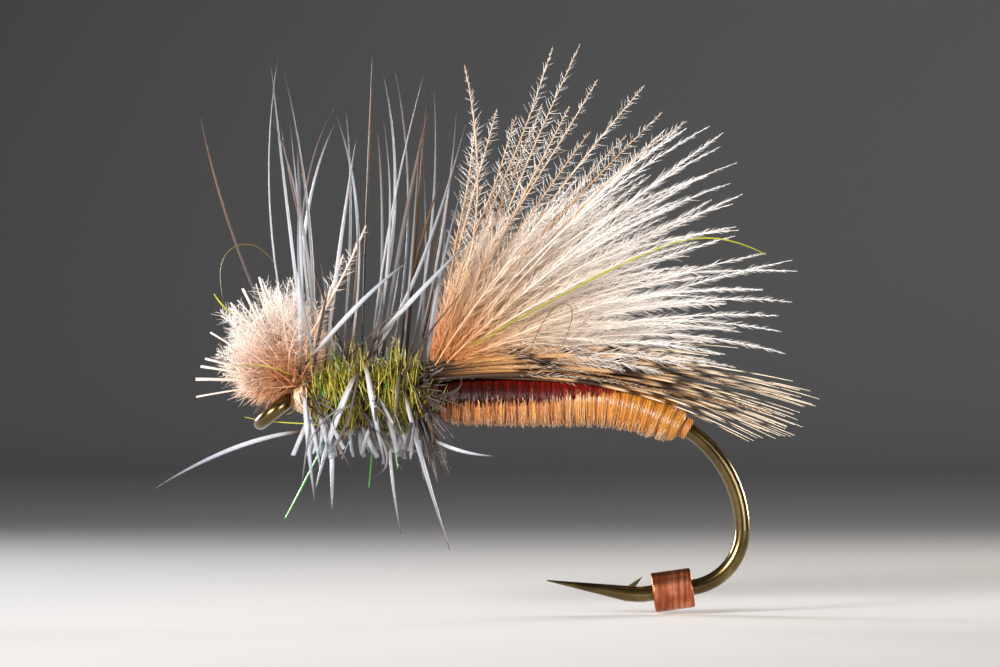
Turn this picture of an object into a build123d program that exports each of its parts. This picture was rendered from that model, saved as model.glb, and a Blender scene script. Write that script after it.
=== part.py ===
"""A dry fly for trout: a barbed hook dressed with feather, dubbing and thread.

Frame: millimetres, +Z up. The origin is the centre of the hook's eye, +X runs along the
shank towards the bend, and -Y is the fly's left side. The fly is modelled as it sits on the
water: wing up, hook point down.
"""

from build123d import *
from math import cos, radians, sin
import os

# ---------------------------------------------------------------- driving dimensions (mm, degrees)
# Hook: down-eyed dry-fly hook, size 8, a little long in the shank
wire_radius = 0.26
eye_wire_radius = 0.24
eye_hole_radius = 0.42
eye_ream = 0.04  # how far the round hole is opened into the ring, which leaves a true bore wall
eye_droop = 39.0  # how far the eye is turned down from the shank
eye_slit, eye_slit_turn = 0.05, 55.0  # closing gap of the ring, on the right beside the shank
shank_length = 9.75
heel_radius, heel_turn = 6.7, 30.0  # the gentle start of the bend, under the tail of the body
bend_radius, bend_turn = 4.0, 60.0
throat_radius, throat_turn = 1.93, 82.0
seat_length = 1.6  # straight wire that carries the copper sleeve
kink_radius, kink_turn = 1.3, 12.2
spear_length = 0.35  # full wire between the kink and the ground point
point_length = 2.67
point_tip_radius = 0.02
barb_reach, barb_lift, barb_width, barb_root = 0.5, 0.34, 0.16, 0.22

# Copper sleeve, loose on the wire behind the barb
sleeve_radius = 0.66
sleeve_length = 1.33
sleeve_clearance = 0.06
sleeve_round = 0.06

# Thread, floss and cement
fit_gap = 0.006  # free space between one layer of the dressing and the next
thread_layer = 0.05
thread_start = 0.62  # where the thread begins, behind the eye
head_length, head_swell = 0.46, 0.13
head_shoulder = 1 / 3  # share of the head's length and height where its front slope ends
cement_coat = 0.03
band_length = 0.42
band_layer = 0.16
tail_wrap_length, tail_wrap_layer = 0.24, 0.1

# Body: floss over an underbody, from the wing band to the end of the heel
body_start = 5.46
# shares of the body's length, and the underbody's thickness over the thread there
body_build = [(0.0, 0.132), (0.1, 0.252), (0.4, 0.272), (0.7, 0.232), (0.92, 0.172), (1.0, 0.032)]
body_sag = 0.08  # the wraps hang a little below the wire's centre
body_lay = 0.2  # thickness of the wound floss
back_strip_thickness, back_strip_gap, back_strip_steps = 0.03, 0.03, 9
back_strip_from, back_strip_to = 0.06, 0.66  # shares of the body's length
back_strip_front_angle, back_strip_rear_angle = 62.0, 16.0  # how far it reaches down each shoulder

# Thorax: two balls of dubbing with the hackle wound over them
thorax_start = 1.36
thorax_end = 4.96
thorax_radius = 1.14
thorax_split = 3.12
thorax_shoulder = 0.24  # a ball of dubbing is lower than its crown by this at both ends
hackle_start, hackle_rise, hackle_rounds = 1.3, 3.6, 3
hackle_stem_radius = 0.07
hackle_barb_radius, hackle_tip_radius = 0.075, 0.02
hackle_length = 10.4  # of the longest barb, which stands straight up
hackle_side_share = 0.85  # the barbs at the sides are shorter by this
hackle_round_barbs = 26
hackle_upright_share, hackle_lean = 0.6, 24.0  # barbs lean away from this share of the winding
hackle_uneven_lean, hackle_uneven_length = 3.0, 0.1  # degrees and share by which neighbours differ
hackle_front_sweep = 16.0  # the front turn's side barbs lean forward by this much more
hackle_low, hackle_low_lean = -0.25, 1.5  # barbs that point lower than this lean more, and are clipped
trim_level = -1.42  # the underside of the hackle is clipped flat here
untrimmed_length, untrimmed_every = 4.6, 6  # a few barbs escaped the scissors
clipped_end_share = 0.8  # a clipped barb ends at this share of its full radius
leader_steps = 20  # spots along a barb that are tested against the leader
butt_layer, butt_half_angle = 0.16, 42.0

# Wing: three fans of downy feather over two blades of barred feather
wing_root_z = 1.36
wing_gap, wing_splay = 0.3, 6.0
wing_thickness = 0.16
wing_web_share = 0.66  # the part of the fan's reach where its fibres hold together
wing_fibre_width, wing_fibre_root = 0.34, 0.6  # share of the reach where the fibre groups begin
# angle above the shank and length of each fibre group, from the foremost to the lowest
wing_span = [
    (82.0, 10.3), (74.0, 10.6), (68.0, 11.6), (63.0, 12.0), (58.5, 11.5), (52.5, 11.9), (46.5, 11.7),
    (42.0, 12.2), (37.0, 12.7), (31.5, 12.4), (27.5, 12.0), (23.5, 12.6), (19.0, 12.5), (15.5, 12.8),
    (11.5, 12.6), (7.5, 12.2),
]
underwing_root_z = 1.4
underwing_gap, underwing_thickness = 0.14, 0.12
underwing_width = 0.26
# angle to the shank, length and bow of each fibre group
underwing_fibres = [
    (0.6, 11.2, 0.2), (-1.4, 12.4, 0.3), (-3.4, 12.8, 0.4), (-5.4, 12.9, 0.55), (-7.2, 12.5, 0.7),
]
dark_barb_width, dark_barb_length, dark_barb_angle, dark_barb_bow = 0.16, 11.6, -2.0, 0.45
dark_barb_offset = 0.7

# Head tuft: the clipped butts of downy feather, standing forward over the eye
tuft_root_x, tuft_root_z = 0.86, 1.02
tuft_length = 3.5
tuft_lean = 134.0  # direction of the tuft, measured from +X
tuft_root_radius = 0.2
tuft_half_height, tuft_half_width = 1.8, 0.95
# shares of the tuft's length, and of its half width and half height there
tuft_sections = [(0.55, 0.75, 0.72), (0.9, 1.0, 1.0), (1.0, 0.7, 0.7)]
tuft_edge_round = 0.05
tuft_quill_radius, tuft_quill_hidden = 0.08, 0.66  # share of a quill that lies in the tuft
# direction, length and sideways offset of each quill
tuft_quills = [
    (183.0, 3.1, -0.3), (178.0, 3.3, 0.42), (171.0, 3.0, -0.5), (162.0, 3.1, 0.45), (86.0, 3.4, -0.5),
]

# Green flash in the thorax
flash_radius, flash_drop, flash_splay = 0.035, 0.55, 0.12
# place along the shank, side, length and lean of each strand
flash_strands = [(2.05, -0.95, 3.0, 24.0), (3.35, 0.95, 2.2, 10.0), (3.9, -0.95, 1.3, -14.0)]

# ---------------------------------------------------------------- values that follow from them
eye_ring_radius = eye_hole_radius + eye_wire_radius - eye_ream
shank_x = eye_ring_radius * cos(radians(eye_droop))
shank_z = eye_ring_radius * sin(radians(eye_droop))
eye_axis = Vector(sin(radians(eye_droop)), 0, -cos(radians(eye_droop)))
thread_inner = wire_radius + fit_gap
thread_outer = thread_inner + thread_layer
butt_inner = thread_outer + fit_gap
band_inner = butt_inner + butt_layer + fit_gap
body_core = thread_outer + fit_gap
body_skin = body_core + fit_gap + body_lay


def shank_plane(x):
    """The plane square to the shank at x, with its centre on the wire."""
    return Plane(origin=(x, 0, shank_z), x_dir=(0, 1, 0), z_dir=(1, 0, 0))


def label_and_write(part, name):
    """Gives the piece its name and writes its file."""
    part.label = name
    export_step(part, f"parts/{name}.step")


os.makedirs("parts", exist_ok=True)

# ---------------------------------------------------------------- hook
with BuildLine(Plane.XZ) as wire_path:
    shank = Line((shank_x, shank_z), (shank_x + shank_length, shank_z))
    heel = JernArc(shank @ 1, shank % 1, heel_radius, -heel_turn)
    bend = JernArc(heel @ 1, heel % 1, bend_radius, -bend_turn)
    throat = JernArc(bend @ 1, bend % 1, throat_radius, -throat_turn)
    seat = Line(throat @ 1, (throat @ 1) + (throat % 1) * seat_length)
    kink = JernArc(seat @ 1, seat % 1, kink_radius, -kink_turn)
    spear = Line(kink @ 1, (kink @ 1) + (kink % 1) * spear_length)

spear_end, spear_way = spear @ 1, spear % 1
# local x runs back towards the bend, local y is the upper side of the spear
spear_plane = Plane(origin=spear_end, x_dir=spear_way * -1, z_dir=(0, -1, 0))
point_start = Plane(origin=spear_end, z_dir=spear_way)
point_tip = spear_plane.from_local_coords((-point_length, wire_radius - point_tip_radius, 0))

with BuildPart() as hook:
    with BuildSketch(Plane(origin=wire_path.line @ 0, z_dir=wire_path.line % 0)):
        Circle(wire_radius)
    sweep(path=wire_path.line)
    with BuildSketch(point_start):
        Circle(wire_radius)
    with BuildSketch(Plane(origin=point_tip, z_dir=spear_way)):
        Circle(point_tip_radius)
    loft()
    with BuildSketch(spear_plane):
        with BuildLine():
            Polyline(
                (-barb_root / 2, wire_radius - barb_root / 2),
                (barb_root, wire_radius - barb_root / 2),
                (barb_reach, wire_radius + barb_lift),
                (-barb_root / 2, wire_radius - barb_root / 2),
            )
        make_face()
    extrude(amount=barb_width / 2, both=True)
    with Locations(Plane(origin=(0, 0, 0), x_dir=(0, 1, 0), z_dir=eye_axis)):
        Torus(eye_ring_radius, eye_wire_radius)
        Cylinder(eye_hole_radius, 4 * eye_wire_radius, mode=Mode.SUBTRACT)
        with PolarLocations(eye_ring_radius, 1, start_angle=eye_slit_turn):
            Box(4 * eye_wire_radius, eye_slit, 4 * eye_wire_radius, mode=Mode.SUBTRACT)
label_and_write(hook.part, "hook")

# ---------------------------------------------------------------- copper sleeve
sleeve_start = seat @ 0 + (seat % 0) * fit_gap
with BuildPart() as copper_sleeve:
    with BuildSketch(Plane(origin=sleeve_start, z_dir=seat % 0)):
        Circle(sleeve_radius)
    extrude(amount=sleeve_length)
    fillet(copper_sleeve.edges().filter_by(GeomType.CIRCLE), sleeve_round)
    with BuildSketch(Plane(origin=sleeve_start, z_dir=seat % 0)):
        Circle(wire_radius + sleeve_clearance)
    extrude(amount=sleeve_length, mode=Mode.SUBTRACT)
label_and_write(copper_sleeve.part, "copper_sleeve")

# ---------------------------------------------------------------- thread on the wire
with BuildLine(Plane.XZ) as thread_path:
    thread_run = Line((thread_start, shank_z), (shank_x + shank_length, shank_z))
    JernArc(thread_run @ 1, thread_run % 1, heel_radius, -heel_turn)

with BuildPart() as thread_base:
    with BuildSketch(Plane(origin=thread_path.line @ 0, z_dir=thread_path.line % 0)):
        Circle(thread_outer)
        Circle(thread_inner, mode=Mode.SUBTRACT)
    sweep(path=thread_path.line)
label_and_write(thread_base.part, "thread_base")

head_end = thread_start + head_length
head_inner, head_outer = thread_outer + fit_gap, thread_outer + head_swell
head_lip = head_inner + thread_layer / 2
shoulder_radius = head_outer - (head_outer - head_lip) * head_shoulder
with BuildPart() as head_thread:
    with BuildSketch(Plane.XZ):
        with BuildLine():
            Polyline(
                (head_end, shank_z + head_outer),
                (head_end, shank_z + head_inner),
                (thread_start, shank_z + head_inner),
                (thread_start, shank_z + head_lip),
                (thread_start + head_length * head_shoulder, shank_z + shoulder_radius),
                close=True,
            )
        make_face()
    revolve(axis=Axis((0, 0, shank_z), (1, 0, 0)))
label_and_write(head_thread.part, "head_thread")

with BuildPart() as head_cement:
    with BuildSketch(shank_plane(thread_start + head_length / 2)):
        Circle(head_outer + fit_gap + cement_coat)
        Circle(head_outer + fit_gap, mode=Mode.SUBTRACT)
    extrude(amount=head_length / 2)
label_and_write(head_cement.part, "head_cement")

# ---------------------------------------------------------------- body
with BuildLine(Plane.XZ) as body_path:
    body_run = Line((body_start, shank_z), (shank_x + shank_length, shank_z))
    JernArc(body_run @ 1, body_run % 1, heel_radius, -heel_turn)


def body_plane(share):
    """The plane square to the wire at this share of the body's length, with local y up."""
    way = body_path.line % share
    return Plane(origin=body_path.line @ share, x_dir=(0, 1, 0), z_dir=way)


with BuildPart() as underbody:
    for share, build in body_build:
        with BuildSketch(body_plane(share)):
            Circle(body_core + build)
    loft()
    with BuildSketch(body_plane(0)):
        Circle(body_core)
    sweep(path=body_path.line, mode=Mode.SUBTRACT)
label_and_write(underbody.part, "underbody")

with BuildPart() as abdomen:
    for share, build in body_build:
        with BuildSketch(body_plane(share)):
            with Locations((0, -body_sag)):
                Circle(body_skin + build)
    loft()
    for share, build in body_build:
        with BuildSketch(body_plane(share)):
            Circle(body_skin - body_lay + build)
    loft(mode=Mode.SUBTRACT)
label_and_write(abdomen.part, "abdomen")


def girth_at(share):
    """The body's radius at this share of its length."""
    for (a, low), (b, high) in zip(body_build, body_build[1:]):
        if share <= b:
            return body_skin + low + (high - low) * (share - a) / (b - a)
    return body_skin + body_build[-1][1]


def shell_section(centre, radius, thickness, half_angle):
    """The closed outline of a strip that lies over the top of a round body."""
    outer = CenterArc(centre, radius + thickness, 90 - half_angle, 2 * half_angle)
    inner = CenterArc(centre, radius, 90 - half_angle, 2 * half_angle)
    Line(outer @ 0, inner @ 0)
    Line(outer @ 1, inner @ 1)


with BuildPart() as back_strip:
    for step in range(back_strip_steps + 1):
        done = step / back_strip_steps
        share = back_strip_from + (back_strip_to - back_strip_from) * done
        reach = back_strip_front_angle + (back_strip_rear_angle - back_strip_front_angle) * done
        with BuildSketch(body_plane(share)):
            with BuildLine():
                shell_section((0, -body_sag), girth_at(share) + back_strip_gap, back_strip_thickness, reach)
            make_face()
    loft()
label_and_write(back_strip.part, "back_strip")

with BuildPart() as tail_wrap:
    with BuildSketch(body_plane(1).offset(fit_gap)):
        Circle(wire_radius + 2 * fit_gap + tail_wrap_layer)
        Circle(wire_radius + 2 * fit_gap, mode=Mode.SUBTRACT)
    extrude(amount=tail_wrap_length)
label_and_write(tail_wrap.part, "tail_wrap")

# ---------------------------------------------------------------- wing butts, bands and thorax
band_start = body_start - fit_gap - band_length
with BuildPart() as wing_butts:
    with BuildSketch(shank_plane(thorax_start)):
        with BuildLine():
            shell_section((0, 0), butt_inner, butt_layer, butt_half_angle)
        make_face()
    extrude(amount=body_start - fit_gap - thorax_start)
label_and_write(wing_butts.part, "wing_butts")

with BuildPart() as wing_band:
    with BuildSketch(shank_plane(band_start)):
        Circle(band_inner + band_layer)
        Circle(band_inner, mode=Mode.SUBTRACT)
    extrude(amount=band_length)
    fillet(wing_band.edges().filter_by(GeomType.CIRCLE).sort_by(SortBy.RADIUS)[-2:], band_layer / 3)
label_and_write(wing_band.part, "wing_band")

with BuildPart() as tuft_band:
    with BuildSketch(shank_plane(head_end + fit_gap)):
        Circle(band_inner + band_layer / 2)
        Circle(thread_outer + fit_gap, mode=Mode.SUBTRACT)
    extrude(amount=thorax_start - head_end - 2 * fit_gap)
label_and_write(tuft_band.part, "tuft_band")


def dubbing(start, end):
    """One ball of dubbing on the shank between start and end."""
    shoulder = thorax_radius - thorax_shoulder
    with BuildPart() as ball:
        with BuildSketch(Plane.XZ):
            with BuildLine():
                Polyline(
                    (end, shank_z + shoulder),
                    (end, shank_z + band_inner),
                    (start, shank_z + band_inner),
                    (start, shank_z + shoulder),
                )
                ThreePointArc(
                    (start, shank_z + shoulder),
                    ((start + end) / 2, shank_z + thorax_radius),
                    (end, shank_z + shoulder),
                )
            make_face()
        revolve(axis=Axis((0, 0, shank_z), (1, 0, 0)))
    return ball.part


label_and_write(dubbing(thorax_start, thorax_split - fit_gap), "dubbing_front")
label_and_write(dubbing(thorax_split + fit_gap, thorax_end), "dubbing_rear")

# ---------------------------------------------------------------- hackle
hackle_radius = thorax_radius + hackle_stem_radius + fit_gap
with BuildLine() as hackle_turns:
    Helix(hackle_rise / hackle_rounds, hackle_rise, hackle_radius, (hackle_start, 0, shank_z), (1, 0, 0))
winding = hackle_turns.line

with BuildPart() as hackle_stem:
    with BuildSketch(Plane(origin=winding @ 0, z_dir=winding % 0)):
        Circle(hackle_stem_radius)
    sweep(path=winding, is_frenet=True)
label_and_write(hackle_stem.part, "hackle_stem")


def barb_place(index):
    """Where a hackle barb stands: its root on the stem, its direction and its length."""
    share = (index + 0.5) / (hackle_rounds * hackle_round_barbs)
    on_stem = winding @ share
    outward = Vector(0, on_stem.Y, on_stem.Z - shank_z).normalized()
    upright, sideways = outward.Z, abs(outward.Y)
    uneven = ((index * 7) % 5 - 2) / 2  # from -1 to 1, another value for each neighbour
    lean = (share - hackle_upright_share) * hackle_lean + uneven * hackle_uneven_lean
    if share < 1 / hackle_rounds:
        lean -= hackle_front_sweep * sideways
    root = on_stem + outward * (hackle_stem_radius + fit_gap)
    length = hackle_length * (1 + hackle_uneven_length * (uneven - 1))
    length *= 1 - (1 - hackle_side_share) * sideways
    if upright < hackle_low:
        lean *= hackle_low_lean
        clipped = (root.Z - trim_level) / (-upright * cos(radians(lean)))
        escaped = index % untrimmed_every == 1
        length = untrimmed_length if escaped else max(clipped, 4 * hackle_barb_radius)
    way = outward * cos(radians(lean)) + Vector(1, 0, 0) * sin(radians(lean))
    return root, way, length


def near_leader(root, way, length):
    """True if the barb would stand in the way of a leader passed up through the eye."""
    for step in range(leader_steps + 1):
        spot = root + way * (length * step / leader_steps)
        along = spot.dot(eye_axis)
        if along > 0 and (spot - eye_axis * along).length < eye_hole_radius + hackle_barb_radius:
            return True
    return False


hackle_names = ["hackle_front", "hackle_middle", "hackle_rear"]
for turn, name in enumerate(hackle_names):
    first = turn * hackle_round_barbs
    places = [barb_place(index) for index in range(first, first + hackle_round_barbs)]
    with BuildPart() as barbs:
        for root, way, length in places:
            if near_leader(root, way, length):
                continue
            is_clipped = length < untrimmed_length
            end_radius = hackle_barb_radius * clipped_end_share if is_clipped else hackle_tip_radius
            with Locations(Plane(origin=root, z_dir=way)):
                Cone(
                    hackle_barb_radius,
                    end_radius,
                    length,
                    align=(Align.CENTER, Align.CENTER, Align.MIN),
                )
    label_and_write(barbs.part, name)

# ---------------------------------------------------------------- wing
def polar(angle, length):
    """A point of the wing's own plane, from the wing's root."""
    return (length * cos(radians(angle)), length * sin(radians(angle)))


def fan(name, side, turn):
    """One downy feather: a web near the root that parts into fibre groups at its edge."""
    across = side * wing_gap
    plane = Plane(
        origin=(body_start, across, wing_root_z),
        x_dir=(cos(radians(turn)), side * sin(radians(turn)), 0),
        z_dir=(side * sin(radians(turn)), -cos(radians(turn)), 0),
    )
    web = [polar(angle, reach * wing_web_share) for angle, reach in wing_span]
    with BuildPart() as feather:
        with BuildSketch(plane):
            with BuildLine():
                Polyline((0, 0), *web, (0, 0))
            make_face()
            for angle, reach in wing_span:
                lift = polar(angle + 90, wing_fibre_width / 2)
                run = polar(angle, reach * wing_fibre_root)
                with BuildLine():
                    Polyline(
                        (run[0] + lift[0], run[1] + lift[1]),
                        polar(angle, reach),
                        (run[0] - lift[0], run[1] - lift[1]),
                        (run[0] + lift[0], run[1] + lift[1]),
                    )
                make_face()
        extrude(amount=wing_thickness / 2, both=True)
    label_and_write(feather.part, name)


fan("wing_feather_left", -1, wing_splay)
fan("wing_feather_centre", 0, 0)
fan("wing_feather_right", 1, wing_splay)


def blade(angle, length, bow, width):
    """A curved fibre group of the underwing, as a closed outline from the root."""
    tip = polar(angle, length)
    middle = polar(angle, length / 2)
    ThreePointArc((0, width / 2), (middle[0], middle[1] + bow + width / 2), tip)
    ThreePointArc(tip, (middle[0], middle[1] + bow - width / 2), (0, -width / 2))
    Line((0, -width / 2), (0, width / 2))


for name, side in (("underwing_left", -1), ("underwing_right", 1)):
    plane = Plane(
        origin=(body_start, side * underwing_gap, underwing_root_z),
        x_dir=(1, 0, 0),
        z_dir=(0, -1, 0),
    )
    with BuildPart() as underwing:
        with BuildSketch(plane):
            for angle, length, bow in underwing_fibres:
                with BuildLine():
                    blade(angle, length, bow, underwing_width)
                make_face()
        extrude(amount=underwing_thickness / 2, both=True)
    label_and_write(underwing.part, name)

with BuildPart() as dark_barb:
    with BuildSketch(
        Plane(origin=(body_start, -dark_barb_offset, underwing_root_z), x_dir=(1, 0, 0), z_dir=(0, -1, 0))
    ):
        with BuildLine():
            blade(dark_barb_angle, dark_barb_length, dark_barb_bow, dark_barb_width)
        make_face()
    extrude(amount=dark_barb_width / 2, both=True)
label_and_write(dark_barb.part, "dark_barb")

# ---------------------------------------------------------------- head tuft
tuft_way = Vector(cos(radians(tuft_lean)), 0, sin(radians(tuft_lean)))
tuft_root = Vector(tuft_root_x, 0, tuft_root_z)


def tuft_plane(distance):
    """The plane square to the tuft at this distance from its root."""
    return Plane(origin=tuft_root + tuft_way * distance, x_dir=(0, 1, 0), z_dir=tuft_way)


with BuildPart() as head_tuft:
    with BuildSketch(tuft_plane(0)):
        Circle(tuft_root_radius)
    for share, width_share, height_share in tuft_sections:
        with BuildSketch(tuft_plane(tuft_length * share)):
            Ellipse(tuft_half_width * width_share, tuft_half_height * height_share)
    loft()
    fillet(head_tuft.edges().sort_by(Axis(tuple(tuft_root), tuple(tuft_way)))[-1], tuft_edge_round)
label_and_write(head_tuft.part, "head_tuft")

with BuildPart() as quill_butts:
    for angle, length, across in tuft_quills:
        way = Vector(cos(radians(angle)), across / length, sin(radians(angle))).normalized()
        root = tuft_root + way * length * tuft_quill_hidden + Vector(0, across, 0)
        shown = length * (1 - tuft_quill_hidden)
        with Locations(Plane(origin=root, z_dir=way)):
            Cylinder(tuft_quill_radius, shown, align=(Align.CENTER, Align.CENTER, Align.MIN))
label_and_write(quill_butts.part, "tuft_quills")

# ---------------------------------------------------------------- flash
with BuildPart() as flash:
    for x, side, length, lean in flash_strands:
        out = Vector(0, side, -flash_drop).normalized()
        way = Vector(-sin(radians(lean)), side * flash_splay, -cos(radians(lean))).normalized()
        root = Vector(x, 0, shank_z) + out * (hackle_radius + hackle_stem_radius + flash_radius)
        with Locations(Plane(origin=root, z_dir=way)):
            Cylinder(flash_radius, length, align=(Align.CENTER, Align.CENTER, Align.MIN))
label_and_write(flash.part, "flash_strands")
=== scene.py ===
"""A trout dry fly, dressed fibre by fibre on its hook and lit on a studio table.

Sizes are millimetres until a mesh is made, and metres from there on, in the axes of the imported
frame: the origin is the centre of the hook's eye, +X runs along the shank to the bend, +Z is up
and -Y is the near side. Fibres are held as arrays of centre lines, so that a feather of
thousands of hairs is a few lines of arithmetic and one mesh.
"""

from __future__ import annotations

import logging
from dataclasses import dataclass, field
from enum import Enum

import bmesh
import bpy
import numpy as np
from mathutils import Matrix, Vector

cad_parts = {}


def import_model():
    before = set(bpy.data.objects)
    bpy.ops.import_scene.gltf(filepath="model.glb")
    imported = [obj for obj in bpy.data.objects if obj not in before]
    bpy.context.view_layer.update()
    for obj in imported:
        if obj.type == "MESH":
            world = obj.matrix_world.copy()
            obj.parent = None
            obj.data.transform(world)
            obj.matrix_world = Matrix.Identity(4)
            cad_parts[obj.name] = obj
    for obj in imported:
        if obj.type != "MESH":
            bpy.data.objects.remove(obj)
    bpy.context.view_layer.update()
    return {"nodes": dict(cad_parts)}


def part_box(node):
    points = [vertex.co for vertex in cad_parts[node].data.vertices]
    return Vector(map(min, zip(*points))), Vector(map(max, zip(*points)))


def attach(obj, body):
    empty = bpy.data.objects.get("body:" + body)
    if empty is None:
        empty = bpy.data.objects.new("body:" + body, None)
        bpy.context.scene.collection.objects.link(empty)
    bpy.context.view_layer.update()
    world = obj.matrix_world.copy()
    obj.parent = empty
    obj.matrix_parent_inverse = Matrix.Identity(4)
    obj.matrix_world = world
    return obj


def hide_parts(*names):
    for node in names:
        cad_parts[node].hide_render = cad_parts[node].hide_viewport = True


Array = np.ndarray
Chance = np.random.Generator
Material = bpy.types.Material
NodeTree = bpy.types.NodeTree
Piece = bpy.types.Object
Point = tuple[float, float, float]
Pairs = tuple[tuple[float, float], ...]
Stops = tuple[tuple[float, str], ...]

MM = 0.001
FLY = "fly"
WAVE_REPEAT = 0.314  # units after which a wave texture of scale 1 repeats
TO_BEND = np.array([1.0, 0.0, 0.0])
NEAR_SIDE = np.array([0.0, -1.0, 0.0])
FAR_SIDE = np.array([0.0, 1.0, 0.0])
log = logging.getLogger("dry_fly")


class Slot(Enum):
    """The record's material slots; the new pieces here take their finish from the finishes below, not from
    these.
    """

    DOWN = "down_feather"
    BARRED = "barred_feather"
    QUILL = "hackle_quill"
    HACKLE = "cock_hackle"
    DUBBING = "olive_dubbing"
    FLASH = "green_flash"
    AMBER = "amber_floss"
    CRIMSON = "crimson_floss"
    THREAD = "tying_thread"


class Turn(Enum):
    """The three turns of hackle: share of the stem's run, mean lean and spread of lean."""

    FRONT = (0.12, -7.0, 8.0)
    MIDDLE = (0.5, 0.0, 7.0)
    REAR = (0.86, 5.0, 5.5)


# ---------------------------------------------------------------- numbers


def unit(vectors: Array) -> Array:
    """Returns the vectors at length one."""
    return vectors / np.maximum(np.linalg.norm(vectors, axis=-1, keepdims=True), 1e-9)


def heading(angle: Array, side: Array) -> Array:
    """Directions in the fly's long plane, turned a little out of it.

    Args:
        angle: degrees above the shank, from +X.
        side: how far the direction leans to +Y, as a share of its length.

    Returns:
        Unit directions, one row each.
    """
    turn = np.radians(angle)
    return unit(np.stack([np.cos(turn), side + 0 * turn, np.sin(turn)], axis=-1))


def bow(roots: Array, middles: Array, tips: Array, stations: int) -> Array:
    """Smooth centre lines through a root, towards a middle, to a tip.

    Args:
        roots: start points, one row each.
        middles: the points that pull the lines aside.
        tips: end points.
        stations: how many points each line gets.

    Returns:
        An array of lines by stations by coordinates.
    """
    t = np.linspace(0, 1, stations)[None, :, None]
    near, far = roots[:, None], tips[:, None]
    return near * (1 - t) ** 2 + middles[:, None] * 2 * t * (1 - t) + far * t**2


def arch(roots: Array, tips: Array, pull: Array, stations: int) -> Array:
    """Smooth centre lines from roots to tips, drawn aside half-way.

    Args:
        roots: start points, one row each.
        tips: end points.
        pull: how far the middles are drawn, as one vector or one row each.
        stations: how many points each line gets.

    Returns:
        An array of lines by stations by coordinates.
    """
    return bow(roots, (roots + tips) / 2 + pull, tips, stations)


def outward(around: Array) -> Array:
    """Returns the ways out from the shank at these angles, in radians from the top towards +Y."""
    return np.stack([0 * around, np.sin(around), np.cos(around)], axis=-1)


def coil(x: Array, around: Array, radius: Array, height: float) -> Array:
    """Points round the shank.

    Args:
        x: where along it.
        around: radians from the top, towards +Y.
        radius: how far from its axis.
        height: Z of that axis.

    Returns:
        The points.
    """
    return np.stack([x, np.sin(around) * radius, height + np.cos(around) * radius], axis=-1)


def taper(width: Array, shape: tuple[float, ...], stations: int) -> Array:
    """Radii along fibres.

    Args:
        width: the full radius of each fibre.
        shape: shares of that radius at even steps from root to tip.
        stations: how many points each line has.

    Returns:
        An array of lines by stations.
    """
    profile = np.interp(np.linspace(0, 1, stations), np.linspace(0, 1, len(shape)), shape)
    return np.asarray(width)[:, None] * profile[None]


# ---------------------------------------------------------------- fibres as meshes


def put(name: str, data: bpy.types.ID) -> Piece:
    """Puts a new object with this data into the scene.

    Args:
        name: the object's name.
        data: its mesh, curve, light or camera.

    Returns:
        The object.
    """
    piece = bpy.data.objects.new(name, data)
    bpy.context.scene.collection.objects.link(piece)
    return piece


def stack_of_strands(count: int, stations: int, sides: int) -> bpy.types.Mesh:
    """Makes straight closed strands one on top of another, ready to be bent.

    Args:
        count: how many strands.
        stations: rings along each strand.
        sides: corners of each ring.

    Returns:
        A mesh in which each strand's vertices follow the one before.
    """
    bm = bmesh.new()
    lift = Matrix.Translation((0, 0, 0.5))
    bmesh.ops.create_cone(bm, cap_ends=True, segments=sides, radius1=1, radius2=1, depth=1, matrix=lift)
    rails = [edge for edge in bm.edges if abs(edge.verts[0].co.z - edge.verts[1].co.z) > 0.5]
    if stations > 2:
        bmesh.ops.subdivide_edges(bm, edges=rails, cuts=stations - 2)
    template = bpy.data.meshes.new("strand")
    bm.to_mesh(template)
    bm.free()
    holder = put("strand", template)
    copies = holder.modifiers.new("copies", "ARRAY")
    copies.use_relative_offset = False
    copies.count = count
    evaluated = holder.evaluated_get(bpy.context.evaluated_depsgraph_get())
    mesh = bpy.data.meshes.new_from_object(evaluated)
    bpy.data.objects.remove(holder)
    bpy.data.meshes.remove(template)
    return mesh


@dataclass
class Bundle:
    """Fibres of one kind, as arrays.

    Attributes:
        spines: centre lines, lines by stations by coordinates.
        radii: half widths, lines by stations.
        facing: the way each fibre's flat side looks, one row each.
        along: what the colour follows, lines by stations.
        tint: a shade between 0 and 1 for each fibre.
        flat: thickness as a share of width.
        sides: corners of a fibre's section.
    """

    spines: Array
    radii: Array
    facing: Array
    along: Array
    tint: Array
    flat: float = 1.0
    sides: int = 4

    def mesh(self) -> bpy.types.Mesh:
        """Bends a stack of strands to these centre lines.

        Returns:
            The mesh, in metres, with its colour attributes.
        """
        count, stations = self.radii.shape
        mesh = stack_of_strands(count, stations, self.sides)
        rest = np.empty(len(mesh.vertices) * 3)
        mesh.vertices.foreach_get("co", rest)
        rest = rest.reshape(count, -1, 3)[0]
        station = np.rint(rest[:, 2] * (stations - 1)).astype(int)
        way = unit(np.gradient(self.spines, axis=1))
        side = unit(np.cross(self.facing[:, None], way))
        up = np.cross(way, side)
        ring = rest[:, 0, None] * side[:, station] + self.flat * rest[:, 1, None] * up[:, station]
        place = self.spines[:, station] + self.radii[:, station, None] * ring
        mesh.vertices.foreach_set("co", (place * MM).ravel())
        tints = np.repeat(self.tint[:, None], len(station), axis=1)
        shades = {"along": self.along[:, station], "tint": tints}
        for name, values in shades.items():
            layer = mesh.attributes.new(name, "FLOAT", "POINT")
            layer.data.foreach_set("value", values.ravel())
        mesh.update()
        return mesh


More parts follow.
